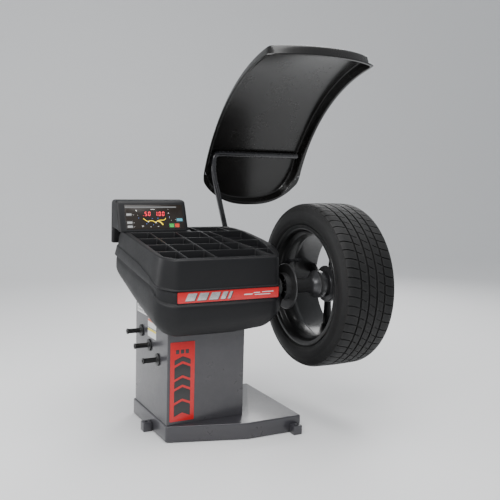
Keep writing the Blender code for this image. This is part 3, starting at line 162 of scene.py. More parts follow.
FINISHES = {finish.name: finish for finish in (
    Finish("gunmetal_paint", Surface.PAINT, (0.042, 0.04, 0.045), (0.039, 0.038, 0.045), 0.32, coat=0.35,
           grain=650.0, depth=0.00004, worn=grey(0.12), wear=0.12, dust=0.02),
    Finish("black_abs", Surface.MOULDED, (0.0056, 0.0057, 0.0068), (0.0046, 0.0047, 0.0056), 0.48,
           specular=0.36, grain=1500.0, depth=0.00012, worn=grey(0.026, 0.004), wear=0.5, dust=0.05),
    Finish("hard_black", Surface.MOULDED, (0.008, 0.008, 0.0088), (0.006, 0.006, 0.0064), 0.38,
           specular=0.42, grain=1100.0, depth=0.00008, worn=grey(0.05), wear=0.4, dust=0.08),
    Finish("gloss_black", Surface.GLOSS, (0.006, 0.0056, 0.0054), (0.0064, 0.0058, 0.0052), 0.25,
           coat=0.2, specular=0.42, grain=3.0, depth=0.0004, worn=grey(0.02), wear=0.06),
    Finish("gloss_tube", Surface.PAINT, (0.012, 0.012, 0.015), (0.009, 0.009, 0.011), 0.26, coat=0.4,
           grain=800.0, depth=0.00004, worn=grey(0.15), wear=0.3, dust=0.05),
    Finish("red_film", Surface.FILM, (0.64, 0.006, 0.009), (0.58, 0.0045, 0.007), 0.36, coat=0.25,
           grain=260.0, depth=0.00003, worn=(0.75, 0.1, 0.1), wear=0.2),
    Finish("dark_film", Surface.FILM, grey(0.034), grey(0.028), 0.38, grain=260.0, depth=0.00003),
    Finish("silver_film", Surface.FILM, grey(0.62), grey(0.36), 0.28, metallic=0.6, grain=300.0,
           depth=0.00003),
    Finish("white_film", Surface.FILM, grey(0.72), grey(0.62), 0.42, grain=300.0, depth=0.00003),
    Finish("orange_film", Surface.FILM, (0.62, 0.16, 0.07), (0.55, 0.12, 0.05), 0.42, grain=300.0,
           depth=0.00003),
    Finish("yellow_film", Surface.FILM, (0.8, 0.66, 0.04), (0.72, 0.58, 0.03), 0.42, grain=300.0,
           depth=0.00003),
    Finish("ground_steel", Surface.TURNED, grey(0.52, 0.015), grey(0.38, 0.01), 0.26, metallic=1.0,
           grain=420.0, depth=0.00004, worn=grey(0.7), wear=0.3),
    Finish("black_steel", Surface.PAINT, grey(0.016, 0.001), grey(0.011), 0.34, metallic=0.25, coat=0.2,
           grain=700.0, depth=0.00006, worn=grey(0.22), wear=0.45, dust=0.06),
    Finish("ring_steel", Surface.TURNED, grey(0.075, 0.004), grey(0.05), 0.34, metallic=0.6, grain=420.0,
           depth=0.00004, worn=grey(0.3), wear=0.5),
    Finish("cast_iron", Surface.CAST, grey(0.1), grey(0.06), 0.62, metallic=0.7, grain=420.0,
           depth=0.0005, worn=grey(0.35), wear=0.4),
    Finish("alloy_black", Surface.PAINT, grey(0.004, 0.0004), grey(0.003), 0.42, specular=0.28, coat=0.3,
           grain=900.0, depth=0.00003, worn=grey(0.1), wear=0.3, dust=0.04),
    Finish("tyre", Surface.RUBBER, grey(0.0088, 0.0003), grey(0.0062), 0.62, specular=0.32, grain=520.0,
           depth=0.00022, worn=(0.024, 0.023, 0.022), wear=0.5, dust=0.08),
    Finish("belt_rubber", Surface.RUBBER, grey(0.018), grey(0.012), 0.72, grain=300.0, depth=0.0003),
    Finish("motor_enamel", Surface.CAST, (0.08, 0.1, 0.14), (0.06, 0.075, 0.1), 0.45, grain=300.0,
           depth=0.0003, worn=grey(0.3), wear=0.4, dust=0.2),
    Finish("board_green", Surface.BOARD, (0.01, 0.11, 0.045), (0.2, 0.16, 0.05), 0.4, grain=160.0,
           depth=0.0002),
    Finish("key_grey", Surface.MOULDED, grey(0.5), grey(0.4), 0.45, grain=900.0, depth=0.00004),
    Finish("key_green", Surface.MOULDED, (0.05, 0.58, 0.1), (0.03, 0.45, 0.07), 0.4, grain=900.0,
           depth=0.00004, glow=0.18),
    Finish("key_red", Surface.MOULDED, (0.85, 0.07, 0.03), (0.72, 0.05, 0.02), 0.4, grain=900.0,
           depth=0.00004, glow=0.15),
    Finish("key_cyan", Surface.MOULDED, (0.11, 0.52, 0.66), (0.08, 0.42, 0.55), 0.4, grain=900.0,
           depth=0.00004, glow=0.12),
    Finish("screen", Surface.GLOSS, (0.016, 0.012, 0.01), (0.024, 0.018, 0.014), 0.22, specular=0.4,
           grain=20.0, depth=0.0001),
    Finish("screen_edge", Surface.FILM, grey(0.3), grey(0.22), 0.3, metallic=0.4, grain=300.0,
           depth=0.00003),
    Finish("lit_red", Surface.LIT, (1.0, 0.03, 0.06), (0.9, 0.02, 0.05), 0.4, glow=2.2),
    Finish("lit_yellow", Surface.LIT, (0.95, 0.7, 0.01), (0.9, 0.64, 0.01), 0.4, glow=0.85),
    Finish("lit_white", Surface.LIT, (0.85, 0.85, 0.82), (0.75, 0.75, 0.72), 0.4, glow=0.6),
    Finish("lit_blue", Surface.LIT, (0.15, 0.3, 0.8), (0.12, 0.25, 0.7), 0.4, glow=0.7),
)}

NODE_FINISH = {
    "spindle_cover_disc": "ring_steel", "release_lever": "hard_black", "mains_switch": "hard_black",
    "power_inlet": "hard_black",
}


class Tree:
    """Adds nodes to a tree and joins them."""

    def __init__(self, tree: bpy.types.NodeTree) -> None:
        """Keep the tree that the nodes go into.

        Args:
            tree: A material's node tree or a node group.
        """
        self.tree = tree

    def node(self, kind: str, settings: dict | None = None, **inputs: object) -> bpy.types.Node:
        """Add one node.

        Args:
            kind: Node type, as Blender names it.
            settings: Properties of the node itself.
            **inputs: Input values or the output sockets that feed them, by the input's name with
                spaces written as underscores, or by its number as i0, i1 and so on.

        Returns:
            The new node.
        """
        made = self.tree.nodes.new(kind)
        for key, value in (settings or {}).items():
            setattr(made, key, value)
        for key, value in inputs.items():
            numbered = key[0] == "i" and key[1:].isdigit()
            socket = made.inputs[int(key[1:]) if numbered else key.replace("_", " ")]
            if isinstance(value, bpy.types.NodeSocket):
                self.tree.links.new(value, socket)
            else:
                socket.default_value = value
        return made

    def maths(self, operation: str, first: object, second: object = 0.0) -> bpy.types.NodeSocket:
        """Add a maths node.

        Args:
            operation: Name of the operation.
            first: First value or socket.
            second: Second value or socket.

        Returns:
            The result's socket.
        """
        return self.node("ShaderNodeMath", {"operation": operation}, i0=first, i1=second).outputs[0]

    def times(self, first: object, second: object) -> bpy.types.NodeSocket:
        """Multiply two values.

        Args:
            first: First value or socket.
            second: Second value or socket.

        Returns:
            The product's socket.
        """
        return self.maths("MULTIPLY", first, second)

    def plus(self, first: object, second: object) -> bpy.types.NodeSocket:
        """Add two values.

        Args:
            first: First value or socket.
            second: Second value or socket.

        Returns:
            The sum's socket.
        """
        return self.maths("ADD", first, second)

    def place(self) -> bpy.types.NodeSocket:
        """Find the place on the object.

        Returns:
            The coordinates' socket.
        """
        return self.node("ShaderNodeTexCoord").outputs["Object"]

    def noise(self, scale: object, detail: float, roughness: float) -> bpy.types.NodeSocket:
        """Add a noise that stays with the object.

        Args:
            scale: Features per metre.
            detail: How many finer layers it has.
            roughness: How strong the finer layers are.

        Returns:
            The noise's socket.
        """
        return self.node("ShaderNodeTexNoise", Vector=self.place(), Scale=scale, Detail=detail,
                         Roughness=roughness).outputs["Fac"]

    def ramp(self, value: object, low: float, high: float) -> bpy.types.NodeSocket:
        """Stretch a range of a value to run from 0 to 1.

        Args:
            value: The value's socket.
            low: What becomes 0.
            high: What becomes 1.

        Returns:
            The stretched value's socket.
        """
        return self.node("ShaderNodeMapRange", {"clamp": True}, i0=value, i1=low, i2=high).outputs[0]

    def group(self, tree: bpy.types.NodeTree, **inputs: object) -> bpy.types.Node:
        """Add a node group.

        Args:
            tree: The group.
            **inputs: Its inputs, as for a node.

        Returns:
            The group's node.
        """
        return self.node("ShaderNodeGroup", {"node_tree": tree}, **inputs)

    def mixed(self, factor: object, first: object, second: object) -> bpy.types.NodeSocket:
        """Mix two colours.

        Args:
            factor: How much of the second colour.
            first: First colour or socket.
            second: Second colour or socket.

        Returns:
            The mixed colour's socket.
        """
        made = self.node("ShaderNodeMix", {"data_type": "RGBA"})
        for index, value in ((0, factor), (6, first), (7, second)):
            if isinstance(value, bpy.types.NodeSocket):
                self.tree.links.new(value, made.inputs[index])
            else:
                made.inputs[index].default_value = value
        return made.outputs[2]


class GroupShop:
    """Makes the node groups that the materials share."""

    def __init__(self) -> None:
        """Start with no groups."""
        self.groups: dict[str, bpy.types.NodeTree] = {}

    @staticmethod
    def blank(name: str, inputs: Sequence[Socket], outputs: Sequence[tuple[str, str]]) -> Blank:
        """Make an empty group with its sockets.

        Args:
            name: Name of the group.
            inputs: Name, socket type and default of each input.
            outputs: Name and socket type of each output.

        Returns:
            The group, a tree helper, its input node and its output node.
        """
        group = bpy.data.node_groups.new(name, "ShaderNodeTree")
        for label, kind, default in inputs:
            socket = group.interface.new_socket(label, in_out="INPUT", socket_type=kind)
            if default is not None:
                socket.default_value = default
        for label, kind in outputs:
            group.interface.new_socket(label, in_out="OUTPUT", socket_type=kind)
        tree = Tree(group)
        return group, tree, group.nodes.new("NodeGroupInput"), group.nodes.new("NodeGroupOutput")

    def tone(self) -> bpy.types.NodeTree:
        """Group that drifts between two colours at two scales.

        Returns:
            The node group, with a colour and a mask.
        """
        if "tone" not in self.groups:
            group, tree, start, end = self.blank(
                "tone", (("First", "NodeSocketColor", None), ("Second", "NodeSocketColor", None),
                         ("Scale", "NodeSocketFloat", 5.0)),
                (("Color", "NodeSocketColor"), ("Mask", "NodeSocketFloat")))
            broad = tree.noise(start.outputs["Scale"], 3.0, 0.55)
            fine = tree.noise(tree.times(start.outputs["Scale"], 14.0), 4.0, 0.6)
            mask = tree.ramp(tree.plus(tree.times(broad, 0.65), tree.times(fine, 0.35)), 0.36, 0.64)
            colour = tree.mixed(mask, start.outputs["First"], start.outputs["Second"])
            group.links.new(colour, end.inputs["Color"])
            group.links.new(mask, end.inputs["Mask"])
            self.groups["tone"] = group
        return self.groups["tone"]

    def wear(self) -> bpy.types.NodeTree:
        """Group that masks rubbed edges by the mesh's own edge attribute, broken up by noise.

        Returns:
            The node group, with a mask.
        """
        if "wear" not in self.groups:
            group, tree, start, end = self.blank("edge_wear", (("Amount", "NodeSocketFloat", 0.5),),
                                                 (("Mask", "NodeSocketFloat"),))
            edge = tree.node("ShaderNodeAttribute", {"attribute_name": "edge"}).outputs["Fac"]
            broken = tree.ramp(tree.noise(34.0, 5.0, 0.65), 0.4, 0.66)
            rubbed = tree.times(edge, tree.plus(tree.times(broken, 0.75), 0.25))
            mask = tree.times(rubbed, start.outputs["Amount"])
            group.links.new(mask, end.inputs["Mask"])
            self.groups["wear"] = group
        return self.groups["wear"]

    def dust(self) -> bpy.types.NodeTree:
        """Group that masks fine dust on faces that look up.

        Returns:
            The node group, with a mask.
        """
        if "dust" not in self.groups:
            group, tree, start, end = self.blank("settled_dust", (("Amount", "NodeSocketFloat", 0.1),),
                                                 (("Mask", "NodeSocketFloat"),))
            normal = tree.node("ShaderNodeNewGeometry").outputs["Normal"]
            up = tree.node("ShaderNodeSeparateXYZ", i0=normal).outputs[2]
            flat = tree.ramp(up, 0.15, 0.95)
            spread = tree.ramp(tree.noise(9.0, 7.0, 0.7), 0.32, 0.78)
            mask = tree.times(tree.times(flat, spread), start.outputs["Amount"])
            group.links.new(mask, end.inputs["Mask"])
            self.groups["dust"] = group
        return self.groups["dust"]

    def grain(self, surface: Surface) -> bpy.types.NodeTree:
        """Group that gives the height of a surface's fine texture.

        Args:
            surface: How the surface was made.

        Returns:
            The node group, with a height.
        """
        name = f"grain_{surface.value}"
        if name not in self.groups:
            group, tree, start, end = self.blank(name, (("Scale", "NodeSocketFloat", 900.0),),
                                                 (("Height", "NodeSocketFloat"),))
            scale = start.outputs["Scale"]
            height = noise = tree.noise(scale, 2.0, 0.5)
            if surface in (Surface.MOULDED, Surface.CAST):
                cells = tree.node("ShaderNodeTexVoronoi", {"feature": "SMOOTH_F1"}, Vector=tree.place(),
                                  Scale=scale).outputs[0]
                height = tree.plus(tree.times(cells, 0.7), tree.times(noise, 0.3))
            if surface in (Surface.TURNED, Surface.RUBBER):
                rings = tree.node("ShaderNodeTexWave", {"bands_direction": "X"}, Vector=tree.place(),
                                  Scale=scale, Distortion=1.2, Detail=2.0).outputs["Fac"]
                height = tree.plus(tree.times(rings, 0.35), tree.times(noise, 0.65))
            if surface is Surface.BOARD:
                tracks = tree.node("ShaderNodeTexBrick", Vector=tree.place(), Scale=scale).outputs["Fac"]
                height = tree.plus(tracks, tree.times(noise, 0.2))
            group.links.new(height, end.inputs["Height"])
            self.groups[name] = group
        return self.groups[name]


class MaterialShop:
    """Makes each finish into a material once."""

    def __init__(self) -> None:
        """Start with no materials."""
        self.groups = GroupShop()
        self.made: dict[str, bpy.types.Material] = {}

    def get(self, name: str) -> bpy.types.Material:
        """Look up or make a material.

        Args:
            name: Name of the finish.

        Returns:
            The material.
        """
        if name not in self.made:
            self.made[name] = self.build(FINISHES[name])
        return self.made[name]

    def build(self, finish: Finish) -> bpy.types.Material:
        """Build one material.

        Args:
            finish: What the surface looks like.

        Returns:
            The material.
        """
        material = bpy.data.materials.new(finish.name + "_look")
        material.use_nodes = True
        nodes = material.node_tree.nodes
        shader = nodes["Principled BSDF"]
        tree = Tree(material.node_tree)
        tone = tree.group(self.groups.tone(), First=(*finish.colour, 1.0), Second=(*finish.shade, 1.0),
                          Scale=5.0)
        colour = tone.outputs["Color"]
        roughness = tree.plus(tree.times(tone.outputs["Mask"], 0.1), finish.roughness - 0.05)
        if finish.wear > 0.0:
            wear = tree.group(self.groups.wear(), Amount=finish.wear).outputs["Mask"]
            colour = tree.mixed(wear, colour, (*finish.worn, 1.0))
            roughness = tree.maths("SUBTRACT", roughness, tree.times(wear, 0.12))
        if finish.dust > 0.0:
            dust = tree.group(self.groups.dust(), Amount=finish.dust).outputs["Mask"]
            colour = tree.mixed(dust, colour, (*DUST_COLOUR, 1.0))
            roughness = tree.plus(roughness, tree.times(dust, 0.8))
        links = material.node_tree.links
        links.new(colour, shader.inputs["Base Color"])
        links.new(roughness, shader.inputs["Roughness"])
        shader.inputs["Metallic"].default_value = finish.metallic
        shader.inputs["Specular IOR Level"].default_value = finish.specular
        shader.inputs["Coat Weight"].default_value = finish.coat
        shader.inputs["Coat Roughness"].default_value = 0.16
        if finish.glow > 0.0:
            links.new(colour, shader.inputs["Emission Color"])
            shader.inputs["Emission Strength"].default_value = finish.glow
        grain = tree.group(self.groups.grain(finish.surface), Scale=finish.grain)
        bump = tree.node("ShaderNodeBump", Height=grain.outputs["Height"], Strength=0.6,
                         Distance=finish.depth)
        links.new(bump.outputs["Normal"], shader.inputs["Normal"])
        return material


# ==== outlines
def spaced(start: float, stop: float, count: int) -> list[float]:
    """Evenly spaced values with both ends.

    Args:
        start: First value.
        stop: Last value.
        count: How many values.

    Returns:
        The values.
    """
    return [start + (stop - start) * index / (count - 1) for index in range(count)]


def blend_rows(first: Sequence[Row], second: Sequence[Row], share: float) -> list[Row]:
    """Go part of the way from one list of rows to another.

    Args:
        first: Rows at share 0.
        second: Rows at share 1.
        share: How far to go.

    Returns:
        The rows between.
    """
    return [tuple(a + (b - a) * share for a, b in zip(one, two)) for one, two in zip(first, second)]


def curve(start: Row, corner: Row, stop: Row, steps: int) -> list[Row]:
    """Curve that leaves its start towards a corner and reaches its end from there.

    Args:
        start: First point.
        corner: Point that it bends towards.
        stop: Last point.
        steps: How many points.

    Returns:
        The curve's points.
    """
    return [tuple(s * (1 - t) ** 2 + c * 2 * t * (1 - t) + e * t ** 2 for s, c, e in zip(start, corner, stop))
            for t in spaced(0.0, 1.0, steps)]


def rectangle(low: Pair, high: Pair) -> list[Pair]:
    """Four corners of a rectangle, counter-clockwise.

    Args:
        low: Lowest corner.
        high: Highest corner.

    Returns:
        The corners.
    """
    return [low, (high[0], low[1]), high, (low[0], high[1])]


def rounded(points: Sequence[Row], radius: float, steps: int = 5) -> list[Row]:
    """Round the corners of a closed outline. Values after x and y are carried along.

    Args:
        points: Corners of the outline.
        radius: How far from each corner the rounding starts.
        steps: Points along each rounding.

    Returns:
        The rounded outline, with steps points for each corner.
    """
    smooth: list[Row] = []
    count = len(points)
    for index in range(count):
        before, here, after = points[index - 1], points[index], points[(index + 1) % count]
        first = math.dist(before[:2], here[:2])
        second = math.dist(after[:2], here[:2])
        one = min(radius, 0.48 * first) / first
        two = min(radius, 0.48 * second) / second
        start = tuple(h + (b - h) * one for h, b in zip(here, before))
        stop = tuple(h + (a - h) * two for h, a in zip(here, after))
        smooth += curve(start, here, stop, steps)
    return smooth


def inset(outline: Sequence[Row], distance: float) -> list[Row]:
    """Move the edges of a counter-clockwise outline inwards. Values after x and y are kept.

    Args:
        outline: Points of the outline.
        distance: How far to move, negative for outwards.

    Returns:
        The moved outline.
    """
    moved: list[Row] = []
    count = len(outline)
    for index in range(count):
        before, here = Vector(outline[index - 1][:2]), Vector(outline[index][:2])
        after = Vector(outline[(index + 1) % count][:2])
        first, second = (here - before).normalized(), (after - here).normalized()
        bisector = Vector((-first.y - second.y, first.x + second.x))
        place = here + bisector * (distance * 2 / max(bisector.length_squared, 0.4))
        moved.append((place.x, place.y, *outline[index][2:]))
    return moved


def inside(point: Pair, outline: Sequence[Row]) -> bool:
    """Whether a point lies in an outline.

    Args:
        point: The point.
        outline: Points of a closed outline.

    Returns:
        True when it lies inside.
    """
    x, y = point
    odd = False
    for index, here in enumerate(outline):
        before = outline[index - 1]
        if (here[1] > y) != (before[1] > y):
            cross = here[0] + (y - here[1]) / (before[1] - here[1]) * (before[0] - here[0])
            if x < cross:
                odd = not odd
    return odd


# ==== meshes
class Form:
    """A mesh being shaped, in machine coordinates."""

    def __init__(self) -> None:
        """Start empty."""
        self.bm = bmesh.new()

    def rings(self, rings: Sequence[Sequence[Triple]], closed: bool = True, first_cap: bool = False,
              last_cap: bool = False) -> "Form":
        """Skin a run of rings that have the same number of points.

        Args:
            rings: The rings in order.
            closed: Whether each ring joins its own end.
            first_cap: Whether the first ring is filled.
            last_cap: Whether the last ring is filled.

        Returns:
            This form.
        """
        levels = [[self.bm.verts.new(point) for point in ring] for ring in rings]
        count = len(levels[0])
        for lower, upper in zip(levels, levels[1:]):
            for index in range(count if closed else count - 1):
                follow = (index + 1) % count
                self.bm.faces.new((lower[index], lower[follow], upper[follow], upper[index]))
        caps = [level for level, wanted in ((levels[0], first_cap), (levels[-1], last_cap)) if wanted]
        faces = [self.bm.faces.new(level) for level in caps]
        if faces:
            bmesh.ops.triangulate(self.bm, faces=faces)
        return self

    def box(self, low: Triple, high: Triple, bevel: float = 0.0, segments: int = 3) -> "Form":
        """Add a box with rounded edges.

        Args:
            low: Lowest corner.
            high: Highest corner.
            bevel: Radius of its edges.
            segments: Steps round each edge.

        Returns:
            This form.
        """
        made = bmesh.ops.create_cube(self.bm, size=1.0)["verts"]
        start, stop = Vector(low), Vector(high)
        bmesh.ops.scale(self.bm, vec=stop - start, verts=made)
        bmesh.ops.translate(self.bm, vec=(start + stop) / 2, verts=made)
        if bevel > 0.0:
            edges = list({edge for vert in made for edge in vert.link_edges})
            bmesh.ops.bevel(self.bm, geom=edges, offset=bevel, offset_type="OFFSET", segments=segments,
                            profile=0.5, affect="EDGES", material=-1, clamp_overlap=True)
        return self

    def turned(self, profile: Sequence[Pair], steps: int, centre: Pair = AXIS) -> "Form":
        """Turn a closed profile about an axis along X.

        Args:
            profile: Points of the profile as x and radius.
            steps: Steps round the axis.
            centre: Where the axis is, as y and z.

        Returns:
            This form.
        """
        verts = [self.bm.verts.new((x, centre[0], centre[1] + radius)) for x, radius in profile]
        radii = [radius for _, radius in profile]
        edges = [self.bm.edges.new((verts[number - 1], verts[number])) for number in range(len(verts))
                 if max(radii[number - 1], radii[number]) > 1e-6]
        bmesh.ops.spin(self.bm, geom=[*verts, *edges], cent=(0.0, *centre), axis=(1.0, 0.0, 0.0),
                       angle=2 * math.pi, steps=steps, use_merge=True, use_duplicate=False)
        bmesh.ops.remove_doubles(self.bm, verts=self.bm.verts, dist=1e-6)
        return self

    def slab(self, outline: Sequence[Pair], low: float, high: float, axis: str, edge: float = 0.0) -> "Form":
        """Carry a flat outline along one axis, with a rounded far edge.

        Args:
            outline: Points of the outline in the other two axes, in their x, y, z order.
            low: Where the slab starts.
            high: Where it ends.
            axis: The axis it is carried along, x or y.
            edge: Radius at its far edge.

        Returns:
            This form.
        """
        def at(pair: Row, value: float) -> Triple:
            """Put an outline's point at a place along the axis."""
            return (value, pair[0], pair[1]) if axis == "x" else (pair[0], value, pair[1])

        sign = 1.0 if high > low else -1.0
        levels = [(outline, low), (outline, high - sign * edge)]
        if edge > 0.0:
            levels += [(inset(outline, edge * 0.3), high - sign * edge * 0.3), (inset(outline, edge), high)]
        return self.rings([[at(pair, value) for pair in ring] for ring, value in levels], first_cap=True,
                          last_cap=True)

    def tube(self, path: Sequence[Vector], radius: float, sides: int = 20) -> "Form":
        """Sweep a round bar along a path.

        Args:
            path: Centre line.
            radius: Radius of the bar.
            sides: Points round it.

        Returns:
            This form.
        """
        rings = []
        reference = Vector((0.0, 1.0, 0.0))
        for index, point in enumerate(path):
            ahead = path[min(index + 1, len(path) - 1)] - path[max(index - 1, 0)]
            tangent = ahead.normalized()
            first = (reference - tangent * reference.dot(tangent)).normalized()
            second = tangent.cross(first)
            rings.append([tuple(point + (first * math.cos(a) + second * math.sin(a)) * radius)
                          for a in (2 * math.pi * k / sides for k in range(sides))])
        return self.rings(rings, first_cap=True, last_cap=True)

    def turned_by(self, matrix: Matrix) -> "Form":
        """Apply a matrix.

        Args:
            matrix: The matrix.

        Returns:
            This form.
        """
        bmesh.ops.transform(self.bm, matrix=matrix, verts=self.bm.verts)
        return self

    def join(self, other: "Form") -> "Form":
        """Take over another form's mesh.

        Args:
            other: The other form, which is used up.

        Returns:
            This form.
        """
        mesh = bpy.data.meshes.new("joining")
        other.bm.to_mesh(mesh)
        other.bm.free()
        self.bm.from_mesh(mesh)
        bpy.data.meshes.remove(mesh)
        return self


class Workshop:
    """Turns forms into finished objects of the scene."""

    def __init__(self) -> None:
        """Find the machine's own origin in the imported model."""
        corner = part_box("column_shell")[0]
        self.shift = Vector((corner.x, corner.y, 0.0))
        self.materials = MaterialShop()
        self.count = 0

    def piece(self, name: str, form: Form, finish: str, body: str = "frame", slot: str | None = None,
              replaces: Iterable[str] = (), angle: float = 38.0) -> None:
        """Finish a form as one object.

        Args:
            name: Name of the object.
            form: Its mesh, in machine coordinates.
            finish: Name of its finish.
            body: The CAD body that it moves with.
            slot: The record's material slot, when it differs from the finish; not used.
            replaces: CAD nodes that it stands for.
            angle: Edges sharper than this, in degrees, stay sharp.
        """
        bm = form.bm
        bmesh.ops.recalc_face_normals(bm, faces=bm.faces)
        bmesh.ops.translate(bm, vec=self.shift, verts=bm.verts)
        self.mark_edges(bm)
        mesh = bpy.data.meshes.new(name)
        bm.to_mesh(mesh)
        bm.free()
        mesh.shade_smooth()
        mesh.set_sharp_from_angle(angle=math.radians(angle))
        mesh.materials.append(self.materials.get(finish))
        made = bpy.data.objects.new(name, mesh)
        bpy.context.scene.collection.objects.link(made)
        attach(made, body)
        nodes = tuple(replaces)
        if nodes:
            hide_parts(*nodes)
        self.count += 1

    @staticmethod
    def mark_edges(bm: bmesh.types.BMesh) -> None:
        """Store how convex each vertex is, for the wear on edges.

        Args:
            bm: The mesh.
        """
        layer = bm.verts.layers.float.new("edge")
        bm.normal_update()
        for vert in bm.verts:
            sharpest = 0.0
            for edge in vert.link_edges:
                if len(edge.link_faces) == 2:
                    sharpest = max(sharpest, edge.calc_face_angle_signed(0.0))
            vert[layer] = min(1.0, max(0.0, (sharpest - 0.18) / 0.7))

    def cut(self, form: Form, tool: Form) -> Form:
        """Cut one form out of another.

        Args:
            form: What is kept.
            tool: What is taken away.

        Returns:
            A new form with the result.
        """
        objects = []
        for part in (form, tool):
            bmesh.ops.recalc_face_normals(part.bm, faces=part.bm.faces)
            mesh = bpy.data.meshes.new("cutting")
            part.bm.to_mesh(mesh)
            part.bm.free()
            made = bpy.data.objects.new("cutting", mesh)
            bpy.context.scene.collection.objects.link(made)
            objects.append(made)
        step = objects[0].modifiers.new("cut", "BOOLEAN")
        step.object = objects[1]
        step.solver = "EXACT"
        step.use_self = True
        ready = objects[0].evaluated_get(bpy.context.evaluated_depsgraph_get())
        result = Form()
        result.bm.from_mesh(ready.to_mesh())
        ready.to_mesh_clear()
        for made in objects:
            mesh = made.data
            bpy.data.objects.remove(made)
            bpy.data.meshes.remove(mesh)
        return result

    def screw(self, place: Triple, normal: Triple, radius: float = 0.0045, height: float = 0.0022) -> Form:
        """A button-head screw with a round sunk socket.

        Args:
            place: Where its head sits.
            normal: Which way it points out.
            radius: Radius of its head.
            height: Height of its head.

        Returns:
            The screw.
        """
        profile = [(-0.001, 0.0), (-0.001, radius * 0.9), (0.0, radius), (height * 0.45, radius * 0.93),
                   (height * 0.85, radius * 0.7), (height, radius * 0.48), (height * 0.35, radius * 0.42),
                   (height * 0.35, 0.0)]
        made = Form().turned(profile, 12, (0.0, 0.0))
        turn = Vector((1.0, 0.0, 0.0)).rotation_difference(Vector(normal)).to_matrix().to_4x4()
        return made.turned_by(Matrix.Translation(place) @ turn)


# ==== shared shapes of the machine
def tray_top(y: float) -> float:
    """Height of the sloping tray.

    Args:
        y: Distance behind the column's front face.

    Returns:
        The height.
    """
    return 0.777 + 0.139 * (y + 0.088)


def seam(y: float) -> float:
    """Height of the joint between the two covers.

    Args:
        y: Distance behind the column's front face.

    Returns:
        The height.
    """
    run = y + 0.1
    return 0.65 + 0.155 * run - 0.01 * run * run


def belly_low(x: float, y: float) -> float:
    """Height of the lower cover's underside.

    Args:
        x: Distance right of the column's left face.
        y: Distance behind the column's front face.

    Returns:
        The height.
    """
    return 0.462 + 0.29 * max(0.0, y + 0.07) + 0.12 * max(0.0, x - 0.3)


def softened(rings: Sequence[Sequence[Row]], share: Sequence[float], steps: int = 6) -> list[list[Row]]:
    """Round an open run of rings at its inner rings.

    Args:
        rings: The rings in order.
        share: For each inner ring, how far towards its neighbours the rounding reaches, up to 0.5.
        steps: Rings that each rounding becomes.

    Returns:
        The rounded run.
    """
    smooth = [list(rings[0])]
    for index in range(1, len(rings) - 1):
        here, part = rings[index], share[index - 1]
        start, stop = blend_rows(here, rings[index - 1], part), blend_rows(here, rings[index + 1], part)
        for t in spaced(0.0, 1.0, steps):
            smooth.append(blend_rows(blend_rows(start, here, t), blend_rows(here, stop, t), t))
    smooth.append(list(rings[-1]))
    return smooth


